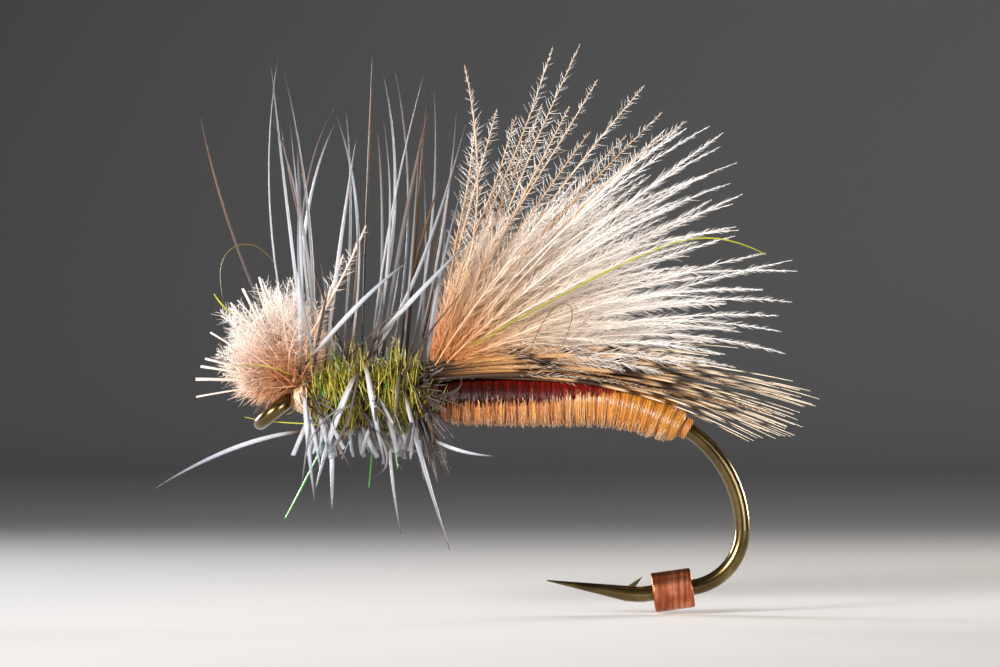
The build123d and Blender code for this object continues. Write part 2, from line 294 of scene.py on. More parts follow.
def single(line: Array, radii: Array, along: Array, facing: Array, tint: float, sides: int) -> Bundle:
    """Makes a bundle of one fibre.

    Args:
        line: its centre line, stations by coordinates.
        radii: its half widths.
        along: what its colour follows.
        facing: the way its flat side looks.
        tint: its shade.
        sides: corners of its section.

    Returns:
        The bundle.
    """
    return Bundle(line[None], radii[None], facing[None], along[None], np.array([tint]), sides=sides)


def weave(name: str, bundles: list[Bundle], finish: Fibre) -> Piece:
    """Joins bundles of fibres into one piece on the fly.

    Args:
        name: the piece's name.
        bundles: the fibres in it.
        finish: what it is made of.

    Returns:
        The piece, riding on the fly.
    """
    bm = bmesh.new()
    for bundle in bundles:
        mesh = bundle.mesh()
        bm.from_mesh(mesh)
        bpy.data.meshes.remove(mesh)
    mesh = bpy.data.meshes.new(name)
    bm.to_mesh(mesh)
    bm.free()
    mesh.shade_smooth()
    mesh.materials.append(finish.material())
    piece = put(name, mesh)
    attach(piece, FLY)
    log.info("%s: %d faces", name, len(mesh.polygons))
    return piece


def spots(spines: Array, t: Array) -> tuple[Array, Array]:
    """Points part of the way along centre lines.

    Args:
        spines: centre lines, lines by stations by coordinates.
        t: shares of the way along, lines by points.

    Returns:
        The points and the directions there, lines by points by coordinates.
    """
    last = spines.shape[1] - 1
    low = np.clip((t * last).astype(int), 0, last - 1)
    rest = (t * last - low)[..., None]
    rows = np.arange(len(spines))[:, None]
    near, far = spines[rows, low], spines[rows, low + 1]
    return near * (1 - rest) + far * rest, unit(far - near)


@dataclass
class Barbules:
    """The fine hairs on both sides of a feather's barbs.

    Attributes:
        pairs: how many stand on each side of a barb.
        length: the longest, in millimetres.
        sweep: degrees between a hair and its barb.
        thickness: half width of a hair.
        start: share of the barb below which there are none.
        stray: how far the hairs leave the feather's plane, in radians.
    """

    pairs: int = 66
    length: float = 0.5
    sweep: float = 34.0
    thickness: float = 0.013
    start: float = 0.16
    stray: float = 0.7

    def grow(self, spines: Array, plane: Array, along: Array, rng: Chance, tint: float = 0.1) -> Bundle:
        """Grows the hairs on these barbs.

        Args:
            spines: the barbs' centre lines.
            plane: each barb's plane, as the way it faces.
            along: what the barbs' colour follows, lines by stations.
            rng: where chance comes from.
            tint: the hairs' mean shade.

        Returns:
            The hairs.
        """
        count, per_barb = len(spines), self.pairs * 2
        t = np.linspace(self.start, 0.995, per_barb)[None] + rng.normal(0, 0.004, (count, per_barb))
        t = np.clip(t, 0, 0.999)
        roots, way = spots(spines, t)
        hand = np.where(np.arange(per_barb) % 2, 1.0, -1.0)[None]
        across = unit(np.cross(plane[:, None], way))
        lift = np.cross(way, across)
        turn = rng.normal(0, self.stray, (count, per_barb))
        turn += 1.2 * np.sin(6 * t + rng.uniform(0, 6, (count, 1)))
        out = across * (hand * np.cos(turn))[..., None] + lift * np.sin(turn)[..., None]
        swing = np.radians(self.sweep) * rng.uniform(0.6, 1.35, (count, per_barb))
        fading = np.interp(t, [0, 0.4, 0.75, 0.94, 1], [0.9, 1, 0.75, 0.4, 0.05])
        size = self.length * rng.uniform(0.55, 1.15, t.shape) * fading
        step = way * np.cos(swing)[..., None] + out * np.sin(swing)[..., None]
        tips = roots + step * size[..., None] + way * (0.12 * size)[..., None]
        middles = roots + (step + out * 0.12) * (size / 2)[..., None]
        last = spines.shape[1] - 1
        rows = np.arange(count)[:, None]
        shade = along[rows, np.clip((t * last).astype(int), 0, last)]
        flat = [array.reshape(-1, array.shape[-1]) for array in (roots, middles, tips, out)]
        lines = bow(flat[0], flat[1], flat[2], 3)
        width = self.thickness * rng.uniform(0.7, 1.2, len(lines))
        return Bundle(
            spines=lines,
            radii=taper(width, (1.0, 0.8, 0.25), 3),
            facing=unit(np.cross(flat[3], flat[1] - flat[0]) + 1e-6),
            along=np.repeat(shade.reshape(-1, 1), 3, axis=1),
            tint=np.clip(rng.normal(tint, 0.08, len(lines)), 0, 1),
            sides=3,
        )


# ---------------------------------------------------------------- finishes


def linear(colour: str) -> tuple[float, float, float, float]:
    """Turns an sRGB hex value such as "c8a070" into the linear colour that a shader takes."""
    parts = [int(colour[i : i + 2], 16) / 255 for i in (0, 2, 4)]
    return (*(c / 12.92 if c <= 0.04045 else ((c + 0.055) / 1.055) ** 2.4 for c in parts), 1.0)


def add(tree: NodeTree, kind: str, inputs: dict | None = None, **settings: object) -> bpy.types.Node:
    """Adds one shader node with its settings and links.

    Args:
        tree: the material's node tree.
        kind: the node's type, without its ShaderNode prefix.
        inputs: socket name or number to a value, or to the output that feeds it.
        settings: the node's own properties; stops are a colour ramp's places and colours.

    Returns:
        The node.
    """
    node = tree.nodes.new(f"ShaderNode{kind}")
    for name, value in settings.items():
        if name == "stops":
            ramp = node.color_ramp.elements
            while len(ramp) < len(value):
                ramp.new(1.0)
            for stop, (place, colour) in zip(ramp, value):
                stop.position = place
                stop.color = linear(colour)
        else:
            setattr(node, name, value)
    for name, value in (inputs or {}).items():
        if isinstance(value, bpy.types.NodeSocket):
            tree.links.new(value, node.inputs[name])
        else:
            node.inputs[name].default_value = value
    return node


def new_material(name: str) -> tuple[Material, NodeTree]:
    """Makes an empty node material.

    Args:
        name: the real material.

    Returns:
        The material and its node tree.
    """
    material = bpy.data.materials.new(name)
    material.use_nodes = True
    material.node_tree.nodes.clear()
    return material, material.node_tree


def coat(
    tree: NodeTree, colour: object, height: bpy.types.NodeSocket, relief: tuple[float, float], inputs: dict
) -> None:
    """Ends a material in one surface with a fine relief.

    Args:
        tree: the material's node tree.
        colour: the surface's colour, or the output that gives it.
        height: the output that raises the relief.
        relief: its strength, and its depth in metres.
        inputs: what else the surface is given, socket by socket.
    """
    bump = add(tree, "Bump", {"Height": height, "Strength": relief[0], "Distance": relief[1]})
    surface = add(tree, "BsdfPrincipled", {"Base Color": colour, "Normal": bump.outputs["Normal"], **inputs})
    add(tree, "OutputMaterial", {"Surface": surface.outputs[0]})


@dataclass(frozen=True)
class Fibre:
    """Feather, hair or silk: a coloured, slightly see-through strand with a soft shine.

    Attributes:
        name: the real material.
        pale: colours from root to tip of the palest fibres.
        deep: colours from root to tip of the darkest fibres.
        roughness: of the surface.
        glow: share of light that passes through the strand.
        shine: specular level.
        alpha: how far the strand hides what is behind it.
    """

    name: str
    pale: Stops
    deep: Stops
    roughness: float = 0.45
    glow: float = 0.3
    shine: float = 0.5
    alpha: float = 1.0

    def material(self) -> Material:
        """Builds the material from the fibres' along and tint attributes, or finds it if it is built.

        Returns:
            The material.
        """
        known = bpy.data.materials.get(self.name)
        if known:
            return known
        material, tree = new_material(self.name)
        along = add(tree, "Attribute", attribute_name="along").outputs["Fac"]
        tint = add(tree, "Attribute", attribute_name="tint").outputs["Fac"]
        pale = add(tree, "ValToRGB", {"Fac": along}, stops=self.pale)
        deep = add(tree, "ValToRGB", {"Fac": along}, stops=self.deep)
        shades = {0: tint, 6: pale.outputs["Color"], 7: deep.outputs["Color"]}
        colour = add(tree, "Mix", shades, data_type="RGBA").outputs[2]
        looks = {"Base Color": colour, "Roughness": self.roughness, "IOR": 1.55, "Alpha": self.alpha}
        body = add(tree, "BsdfPrincipled", {**looks, "Specular IOR Level": self.shine})
        through = add(tree, "BsdfTranslucent", {"Color": colour})
        both = add(tree, "MixShader", {0: self.glow, 1: body.outputs[0], 2: through.outputs[0]})
        add(tree, "OutputMaterial", {"Surface": both.outputs[0]})
        return material


@dataclass(frozen=True)
class BronzedWire:
    """Forged steel wire, bronzed and lacquered: dark olive brown that flashes pale gold.

    Attributes:
        dark: where the bronze is thick.
        mid: between the two.
        worn: where it is rubbed.
    """

    dark: str = "4a3b1e"
    mid: str = "6d5a30"
    worn: str = "b7a36a"

    def material(self) -> Material:
        """Builds the material.

        Returns:
            The material.
        """
        material, tree = new_material("bronzed_steel")
        place = add(tree, "TexCoord").outputs["Object"]
        mottle = add(tree, "TexNoise", {"Vector": place, "Scale": 900.0, "Detail": 4.0})
        fac = mottle.outputs["Fac"]
        stops = ((0.35, self.dark), (0.62, self.mid), (0.8, self.worn))
        colour = add(tree, "ValToRGB", {"Fac": fac}, stops=stops)
        looks = {"Metallic": 1.0, "Roughness": 0.24, "Coat Weight": 0.5, "Coat Roughness": 0.12}
        coat(tree, colour.outputs["Color"], fac, (0.08, 0.00002), looks)
        return material


@dataclass(frozen=True)
class WornCopper:
    """Copper tube cut by hand: rubbed pale along its ridges, brown where it has dulled.

    Attributes:
        bright: on the ridges.
        mid: between the two.
        dull: in the hollows.
    """

    bright: str = "e2a184"
    mid: str = "bd6a48"
    dull: str = "7c3f28"

    def material(self) -> Material:
        """Builds the material.

        Returns:
            The material.
        """
        material, tree = new_material("copper_tube")
        place = add(tree, "TexCoord").outputs["Object"]
        lie = {"Rotation": (0.0, 0.14, 0.0), "Scale": (9000.0, 500.0, 500.0)}
        turned = add(tree, "Mapping", {"Vector": place, **lie})
        lines = add(tree, "TexNoise", {"Vector": turned.outputs[0], "Scale": 1.0, "Detail": 5.0})
        blotch = add(tree, "TexNoise", {"Vector": place, "Scale": 1500.0, "Detail": 3.0})
        both = add(tree, "Math", {0: lines.outputs["Fac"], 1: blotch.outputs["Fac"]}, operation="MULTIPLY")
        stops = ((0.12, self.dull), (0.26, self.mid), (0.42, self.bright))
        colour = add(tree, "ValToRGB", {"Fac": both.outputs[0]}, stops=stops)
        looks = {"Metallic": 1.0, "Roughness": 0.36}
        coat(tree, colour.outputs["Color"], lines.outputs["Fac"], (0.25, 0.00003), looks)
        return material


@dataclass(frozen=True)
class Plain:
    """A sealed or wound surface with fine ribs across the shank, such as thread or varnish, darker in the
    grooves between the ribs as painted shade.

    Attributes:
        name: the real material.
        light: its palest colour.
        dark: its darkest colour, painted shade in the grooves between the ribs.
        rib_mm: spacing of the ribs along the shank, in millimetres.
        depth_mm: how deep the ribs are.
        roughness: of the surface.
        coat: weight of a clear coat over it.
    """

    name: str
    light: str
    dark: str
    rib_mm: float = 0.07
    depth_mm: float = 0.012
    roughness: float = 0.5
    coat: float = 0.0

    def material(self) -> Material:
        """Builds the material.

        Returns:
            The material.
        """
        material, tree = new_material(self.name)
        place = add(tree, "TexCoord").outputs["Object"]
        lie = {"Vector": place, "Scale": WAVE_REPEAT / (self.rib_mm * MM), "Distortion": 1.2, "Detail": 2.0}
        fac = add(tree, "TexWave", lie, bands_direction="X").outputs["Fac"]
        # dark where the ribs' relief is low: painted shade in the grooves
        stops = ((0.0, self.dark), (0.6, self.light), (1.0, self.light))
        colour = add(tree, "ValToRGB", {"Fac": fac}, stops=stops)
        looks = {"Roughness": self.roughness, "Coat Weight": self.coat, "Coat Roughness": 0.08}
        coat(tree, colour.outputs["Color"], fac, (0.6, self.depth_mm * MM), looks)
        return material


@dataclass(frozen=True)
class Board:
    """Matt painted board for the table and backdrop: even, pale and without shine.

    Attributes:
        colour: of the paint.
    """

    colour: str = "c9c8c6"

    def material(self) -> Material:
        """Builds the material.

        Returns:
            The material.
        """
        material, tree = new_material("painted_board")
        place = add(tree, "TexCoord").outputs["Object"]
        grain = add(tree, "TexNoise", {"Vector": place, "Scale": 300.0, "Detail": 3.0})
        coat(tree, linear(self.colour), grain.outputs["Fac"], (0.04, 0.0002), {"Roughness": 0.85})
        return material


def barred(grounds: tuple[str, ...], bar: str, places: Pairs) -> Stops:
    """Colours of a barred barb, brown at its root and pale at its tip; the near-black root is partly the
    barb's own dark brown and partly painted shade under the wing.

    Args:
        grounds: colour between the bars, one for each bar.
        bar: colour of the bars.
        places: where each bar starts and ends.

    Returns:
        The stops for a colour ramp.
    """
    soft = 0.012
    # near-black root: partly the barb's own brown, partly painted shade where it is tied in under the wing
    stops = [(0.0, "1c0e06"), (0.08, "3c220e"), (0.16, "8a5e32"), (0.22, grounds[0])]
    for ground, (start, end) in zip(grounds, places):
        stops += [(start - soft, ground), (start + soft, bar), (end - soft, bar), (end + soft, ground)]
    return (*stops, (1.0, "f6ead6"))


# Duck down: white and weightless, warm orange at its roots.
DOWN = Fibre(
    name="duck_down_feather",
    pale=(
        (0.0, "e08a3c"), (0.1, "f6be80"), (0.2, "fce0be"),
        (0.34, "fff2e4"), (0.55, "fffbf7"), (1.0, "ffffff"),
    ),
    deep=((0.0, "b8662a"), (0.15, "c08444"), (0.4, "bd9056"), (0.7, "c49a64"), (1.0, "caa878")),
    glow=0.34,
)
# The same down clipped short: cream tips that glow over a peach heart.
TUFT = Fibre(
    name="clipped_down_feather",
    pale=((0.0, "d88848"), (0.2, "f4c89e"), (0.38, "fdebdb"), (0.6, "fff9f3"), (1.0, "fffefc")),
    deep=((0.0, "b8682c"), (0.4, "ecb88e"), (1.0, "fae4d0")),
    glow=0.4,
)
# Flank feather: tan, crossed by dark brown bars.
BARRED = Fibre(
    name="barred_flank_feather",
    pale=barred(
        ("b4824c", "cca070", "dfc09a", "ecd6b8", "f0dfc8"),
        "38200f",
        ((0.3, 0.37), (0.49, 0.58), (0.65, 0.7), (0.76, 0.8), (0.86, 0.885)),
    ),
    deep=barred(
        ("8c5c30", "9c6e42", "b08a60", "c0a078", "ccb290"),
        "24130a",
        ((0.26, 0.41), (0.46, 0.6), (0.64, 0.72), (0.755, 0.81), (0.86, 0.895)),
    ),
    roughness=0.5,
    glow=0.15,
    shine=0.35,
)
# Cock hackle: glossy steel grey and brown barbs that the light comes through.
HACKLE = Fibre(
    name="cock_hackle_barb",
    pale=(
        (0.0, "2c1c10"), (0.07, "7a6858"), (0.16, "bcbabb"),
        (0.4, "d2d5da"), (0.7, "a4aab4"), (1.0, "4c4640"),
    ),
    deep=(
        (0.0, "120a05"), (0.3, "332012"), (0.55, "4c331e"),
        (0.75, "6a4c32"), (0.9, "5a3c24"), (1.0, "2e1c10"),
    ),
    roughness=0.34,
    glow=0.2,
    shine=0.26,
    alpha=0.86,
)
# Seal's fur: wet-looking olive and yellow among dark brown; both ramps darken towards the fibres' roots,
# partly as painted shade inside the ball, and the pale one brightens to yellow at the tips, partly as a
# painted highlight.
DUBBING = Fibre(
    name="olive_seal_dubbing",
    pale=((0.0, "6c6410"), (0.4, "b8ac22"), (1.0, "e6da50")),
    deep=((0.0, "150e06"), (0.5, "33260b"), (1.0, "5a4812")),
    roughness=0.22,
    glow=0.25,
    shine=0.9,
)
# Rayon floss: amber, with a silky sheen; the tint puts a painted highlight on the crests of the turns and
# deep orange painted shade between them, and both ramps are darkest at the front end as painted shade.
AMBER = Fibre(
    name="amber_rayon_floss",
    # the dark start of both ramps is painted shade at the front end of the body
    pale=((0.0, "c06c28"), (0.15, "efa95c"), (0.5, "f6c07a"), (0.75, "e8a440"), (1.0, "e4a44a")),
    deep=((0.0, "3c1404"), (0.12, "842e04"), (0.4, "9c3e06"), (0.7, "a04c08"), (1.0, "9c5a12")),
    roughness=0.3,
    glow=0.2,
    shine=0.6,
)
# The same floss in single slack threads, which look almost white.
SLACK_SILK = Fibre(
    name="slack_pale_silk",
    pale=((0.0, "f2cda0"), (1.0, "fbe9d2")),
    deep=((0.0, "e0a050"), (1.0, "eab468")),
    roughness=0.3,
    glow=0.35,
)
# Crimson floss: deep and nearly dull, browner to the rear; its near-black start is painted shade at the
# front under the wing and down the shoulders.
CRIMSON = Fibre(
    name="crimson_rayon_floss",
    pale=((0.0, "34100c"), (0.2, "4a100c"), (0.45, "7c140c"), (0.7, "a02010"), (1.0, "a84a14")),
    deep=((0.0, "100404"), (0.3, "220606"), (0.6, "480a06"), (0.8, "6c1a08"), (1.0, "8a3a0e")),
    roughness=0.4,
    glow=0.1,
    shine=0.16,
)
# Bare quill: smooth, pale and horny.
QUILL = Fibre(
    name="clipped_feather_quill",
    pale=((0.0, "d8a888"), (0.4, "e6cbb8"), (1.0, "f6e9e0")),
    deep=((0.0, "b97f55"), (1.0, "dcbf9e")),
    roughness=0.3,
    glow=0.3,
)
# Flash film: a sharp green glint.
FLASH = Fibre(
    name="green_flash_film",
    pale=((0.0, "2f8a1c"), (1.0, "5fd02c")),
    deep=((0.0, "0c3a10"), (1.0, "1f7a22")),
    roughness=0.12,
    glow=0.15,
    shine=1.0,
)
# Waxed thread: peach, with a tight shine on each turn.
PEACH_THREAD = Fibre(
    name="waxed_peach_thread",
    pale=((0.0, "f1c9a6"), (1.0, "f6dcc4")),
    deep=((0.0, "c08a5e"), (1.0, "d9a67c")),
    roughness=0.22,
    glow=0.15,
    shine=0.8,
)
# Stray hairs: olive yellow, some brown.
OLIVE_HAIR = Fibre(
    name="olive_marker_hair",
    pale=((0.0, "8f9422"), (0.5, "c2bf3c"), (1.0, "b4b62e")),
    deep=((0.0, "4f3a1c"), (1.0, "7a5a30")),
    roughness=0.3,
)


# ---------------------------------------------------------------- the body


@dataclass
class BodyPath:
    """The line of the hook's wire under the floss.

    Attributes:
        height: of the shank above the eye's centre.
        start: where the floss begins, along X.
        heel: where the wire starts to curve down.
        heel_radius: radius of that curve.
        heel_turn: degrees of it that the floss covers.
    """

    height: float = 0.39
    start: float = 5.46
    heel: float = 10.232
    heel_radius: float = 6.7
    heel_turn: float = 30.0

    def length(self) -> float:
        """Returns the path's length."""
        return self.heel - self.start + self.heel_radius * np.radians(self.heel_turn)

    def at(self, share: Array) -> tuple[Array, Array, Array]:
        """Finds points of the path.

        Args:
            share: how far along the path, where 0 and 1 are its ends.

        Returns:
            The points, the ways along and the ways up, one row each.
        """
        run = np.asarray(share) * self.length()
        bent = np.maximum(run - (self.heel - self.start), 0)
        turn = bent / self.heel_radius
        x = self.start + run - bent + self.heel_radius * np.sin(turn)
        z = self.height - self.heel_radius * (1 - np.cos(turn))
        level = np.zeros_like(x)
        way = np.stack([np.cos(turn), level, -np.sin(turn)], axis=-1)
        up = np.stack([np.sin(turn), level, np.cos(turn)], axis=-1)
        return np.stack([x, level, z], axis=-1), way, up


@dataclass
class FlossBody:
    """The wound body: a core, hundreds of silk wraps over it and a crimson back.

    Attributes:
        path: the wire's line.
        girth: shares of the length and the radius there.
        sag: how far the wraps hang below the wire.
        bands: how many bulging turns of floss show along the body.
        bulge: how far a turn stands out.
        wraps: silk filaments round the body.
        fringe: loose filaments along the underside.
        strip: share of the body that the crimson back covers.
        crimson: silk filaments in the crimson back.
    """

    path: BodyPath = field(default_factory=BodyPath)
    girth: Pairs = (
        (0.0, 0.6), (0.06, 0.72), (0.25, 0.79), (0.5, 0.8), (0.75, 0.76),
        (0.9, 0.7), (0.96, 0.62), (0.99, 0.5), (1.0, 0.42),
    )
    sag: float = 0.08
    bands: int = 22
    bulge: float = 0.065
    wraps: int = 760
    fringe: int = 420
    strip: float = 0.82
    crimson: int = 1500

    def radius(self, share: Array) -> Array:
        """Returns the body's radius, turns of floss included."""
        turns = np.abs(np.sin(np.pi * self.bands * share)) ** 0.6
        return np.interp(share, *zip(*self.girth)) - self.bulge + self.bulge * turns

    def crest(self, share: Array) -> Array:
        """Returns how near places are to the crest of a turn of floss, from 0 to 1."""
        return np.sin(np.pi * self.bands * share) ** 2

    def around(self, share: Array, turn: Array, proud: Array) -> Array:
        """Finds points on the body's skin.

        Args:
            share: how far along the body.
            turn: radians round it from the top, towards -Y.
            proud: how far above the skin.

        Returns:
            The points.
        """
        centre, _, up = self.path.at(share)
        out = up * np.cos(turn)[..., None] + NEAR_SIDE * np.sin(turn)[..., None]
        return centre - up * self.sag + out * (self.radius(share) + proud)[..., None]

    def build(self, rng: Chance) -> list[Piece]:
        """Builds the body's pieces.

        Args:
            rng: where chance comes from.

        Returns:
            The amber body, its fringe and its crimson back.
        """
        share = np.linspace(0, 1, 240)
        centre, _, up = self.path.at(share)
        core = single(centre - up * self.sag, self.radius(share), share, FAR_SIDE, 0.75, 40)
        amber = weave("body_floss", [core, self.silk(rng)], AMBER)
        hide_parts("abdomen", "underbody")
        fringe = weave("body_fringe", [self.stray(rng)], SLACK_SILK)
        back = weave("body_back", [self.ridge(rng)], CRIMSON)
        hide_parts("back_strip")
        return [amber, fringe, back]

    def silk(self, rng: Chance) -> Bundle:
        """Winds single filaments right round the body.

        Args:
            rng: where chance comes from.

        Returns:
            The filaments.
        """
        stations = 20
        start = np.sort(rng.uniform(0.004, 0.99, self.wraps))
        turn = np.linspace(0, 2 * np.pi, stations)[None] + rng.uniform(0, 6.28, (self.wraps, 1))
        step = np.linspace(-0.5, 0.5, stations)[None]
        share = start[:, None] + step * rng.normal(0.012, 0.006, (self.wraps, 1))
        proud = rng.uniform(-0.004, 0.02, (self.wraps, 1)) + rng.normal(0, 0.003, (self.wraps, stations))
        lines = self.around(np.clip(share, 0, 1), turn, proud)
        _, way, _ = self.path.at(start)
        return Bundle(
            spines=lines,
            radii=taper(rng.uniform(0.009, 0.018, self.wraps), (1, 1), stations),
            facing=way,
            along=np.clip(share, 0, 1),
            # tint is lower on the crests of the turns, a painted highlight, and higher between them, painted
            # shade
            tint=np.clip(rng.beta(1.2, 1.2, self.wraps) - 0.6 * self.crest(start) + 0.25, 0, 1),
            sides=3,
        )

    def stray(self, rng: Chance) -> Bundle:
        """Lets slack filaments hang from the underside.

        Args:
            rng: where chance comes from.

        Returns:
            The filaments.
        """
        stations = 6
        start = rng.uniform(0.05, 0.97, self.fringe)
        middle = np.pi + rng.normal(0, 0.55, self.fringe)
        span = rng.uniform(0.25, 0.7, self.fringe)
        step = np.linspace(-1, 1, stations)[None]
        turn = middle[:, None] + step * span[:, None]
        lift = rng.uniform(0.02, 0.11, (self.fringe, 1)) * np.sin(np.linspace(0, np.pi, stations))[None]
        share = np.clip(start[:, None] + step * rng.normal(0, 0.004, (self.fringe, 1)), 0, 1)
        _, way, _ = self.path.at(start)
        return Bundle(
            spines=self.around(share, turn, lift),
            radii=taper(np.full(self.fringe, 0.011), (1, 1), stations),
            facing=way,
            along=share,
            tint=rng.uniform(0, 0.8, self.fringe),
            sides=3,
        )

    def ridge(self, rng: Chance) -> Bundle:
        """Winds the crimson filaments over the top and shoulders, thinning out to the rear.

        Args:
            rng: where chance comes from.

        Returns:
            The filaments.
        """
        stations, count = 16, self.crimson
        start = self.strip * rng.uniform(0, 1, count) ** 1.15
        ends = np.interp(start, [0, 0.2, 0.45, 0.65, self.strip], [1.72, 1.66, 1.55, 1.2, 0.6])
        left, right = (ends * rng.uniform(0.84, 1.1, count) for _ in range(2))
        step = np.linspace(0, 1, stations)[None]
        turn = -left[:, None] + (left + right)[:, None] * step
        share = np.clip(start[:, None] + (step - 0.5) * rng.normal(0.008, 0.006, (count, 1)), 0, 1)
        proud = rng.uniform(0.014, 0.034, (count, 1)) - 0.012 * np.abs(2 * step - 1) ** 10
        _, way, _ = self.path.at(start)
        return Bundle(
            spines=self.around(share, turn, proud),
            radii=taper(rng.uniform(0.013, 0.022, count), (0.3, 1, 1, 1, 1, 1, 1, 0.3), stations),
            facing=way,
            # along lifts the colour on the top of the body as a painted highlight and leaves the front and
            # the shoulders near black as painted shade
            along=np.clip(start[:, None] + 0.62 * np.clip(0.9 - np.abs(turn), 0, 0.5), 0, 1),
            tint=np.clip(rng.normal(0.5, 0.22, count) + 0.25 * self.crest(start), 0, 1),
            sides=3,
        )


# ---------------------------------------------------------------- feathers


@dataclass
class Wing:
    """The upright wing of down: open single barbs in front, and white fronds that arch back.

    Attributes:
        root: where the feathers are tied in.
        outline: degrees above the shank and how far the dense part reaches there.
        singles: the open barbs of the upper part, as degrees and reach.
        fronds: long barbs of each feather in the dense part.
        filling: short barbs of each feather, between the fronds.
        splay: how far the outer feathers lean away, as a share of their length.
        full: distance from the root at which a barb has the colour of its tip.
        stations: points along each barb.
    """

    root: Point = (5.2, 0.0, 1.3)
    outline: Pairs = (
        (-3.0, 9.4), (1.5, 11.9), (4.0, 12.4), (8.0, 11.4), (10.0, 12.6), (14.0, 12.7),
        (17.0, 12.7), (21.0, 11.9), (25.0, 12.6), (29.0, 11.9), (33.0, 12.4), (38.0, 12.7),
        (44.0, 12.1), (50.0, 11.0), (60.0, 8.0), (86.0, 6.0),
    )
    singles: Pairs = (
        (83.7, 10.3), (80.0, 8.6), (76.0, 9.1), (71.5, 9.0), (69.5, 11.6), (67.5, 9.7),
        (65.5, 12.0), (62.5, 10.0), (60.4, 11.4), (56.5, 9.6), (53.3, 11.9), (50.5, 10.3),
        (48.3, 11.6), (46.0, 10.8), (44.5, 12.1),
    )
    fronds: int = 15
    filling: int = 44
    splay: float = 0.075
    full: float = 12.6
    stations: int = 16

    def lines(
        self, rng: Chance, angle: Array, reach: Array, side: float, stray: float
    ) -> tuple[Array, Array]:
        """Draws barbs from the root that leave steeply and arch back.

        Args:
            rng: where chance comes from.
            angle: degrees above the shank of each tip.
            reach: distance of each tip.
            side: -1 for the near feather, 0 for the middle one and 1 for the far one.
            stray: degrees by which the middles wander.

        Returns:
            The centre lines, and how far along the wing each point is.
        """
        count = len(angle)
        lean = side * self.splay + rng.normal(0, 0.04, count)
        roots = np.array(self.root) + rng.normal(0, 1, (count, 3)) * np.array([0.1, 0.12, 0.06])
        roots[:, 1] += side * 0.22
        roots[:, 0] += 0.3 * (1 - angle / 84)
        tips = np.array(self.root) + heading(angle, lean) * reach[:, None]
        steep = np.interp(angle, [-3, 15, 30, 50, 62, 81, 84], [13, 16, 13, 7, 1, -1, -24])
        steep += rng.normal(0, stray, count)
        middles = roots + heading(angle + steep, lean * 1.1) * (reach * 0.52)[:, None]
        lines = bow(roots, middles, tips, self.stations)
        along = np.linspace(0, 1, self.stations)[None]
        wave = along * rng.uniform(5, 9, (count, 1)) + rng.uniform(0, 6, (count, 1))
        sway = np.sin(wave) * along * (1 - along) * 4
        lines += sway[..., None] * rng.normal(0, 0.055, (count, 1, 3))
        return lines, np.linalg.norm(lines - np.array(self.root), axis=-1) / self.full

    def feather(self, name: str, side: float, seed: int) -> Piece:
        """Builds one feather.

        Args:
            name: the piece's name.
            side: -1 for the near feather, 0 for the middle one and 1 for the far one.
            seed: for its chance.

        Returns:
            The piece.
        """
        rng = np.random.default_rng(seed)
        frond = np.linspace(-2, 45, self.fronds) + rng.normal(0, 1.5, self.fronds)
        long = np.interp(frond, *zip(*self.outline)) * rng.choice([1.0, 0.97, 0.9, 0.8], self.fronds)
        short = rng.uniform(-2, 72, self.filling)
        brief = np.interp(short, *zip(*self.outline)) * rng.uniform(0.4, 0.8, self.filling)
        own = np.array(self.singles[int(side) + 1 :: 3])
        groups = (
            # tip angles, reach, stray, stem half width, shade, hairs
            (frond, long, 4.4, 0.032, 0.08, Barbules(96, 0.62, 22.0, 0.0105, 0.1, 0.7)),
            (own[:, 0], own[:, 1], 1.2, 0.04, 0.85, Barbules(92, 0.66, 58.0, 0.0085, 0.1, 0.45)),
            (short, brief, 6.0, 0.022, 0.1, Barbules(66, 0.75, 34.0, 0.0095, 0.04, 1.1)),
        )
        bundles = []
        for angle, reach, stray, width, shade, hairs in groups:
            lines, along = self.lines(rng, angle, reach, side, stray)
            count = len(lines)
            facing = unit(NEAR_SIDE + rng.normal(0, 0.15, (count, 3)))
            widths = width * rng.uniform(0.85, 1.15, count)
            stems = Bundle(
                spines=lines,
                radii=taper(widths, (1.3, 1.0, 0.85, 0.65, 0.3), self.stations),
                facing=facing,
                along=along,
                tint=np.clip(shade + rng.normal(0, 0.12, count), 0, 1),
                sides=5,
            )
            bundles += [stems, hairs.grow(lines, facing, along, rng, tint=0.04)]
        return weave(name, bundles, DOWN)

    def build(self) -> list[Piece]:
        """Builds the three feathers in place of their plain fans.

        Returns:
            The feathers.
        """
        pieces = []
        for name, side, seed in (("left", -1.0, 11), ("centre", 0.0, 12), ("right", 1.0, 13)):
            piece = self.feather(f"wing_down_{name}", side, seed)
            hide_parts(f"wing_feather_{name}")
            pieces.append(piece)
        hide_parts("wing_butts")
        return pieces


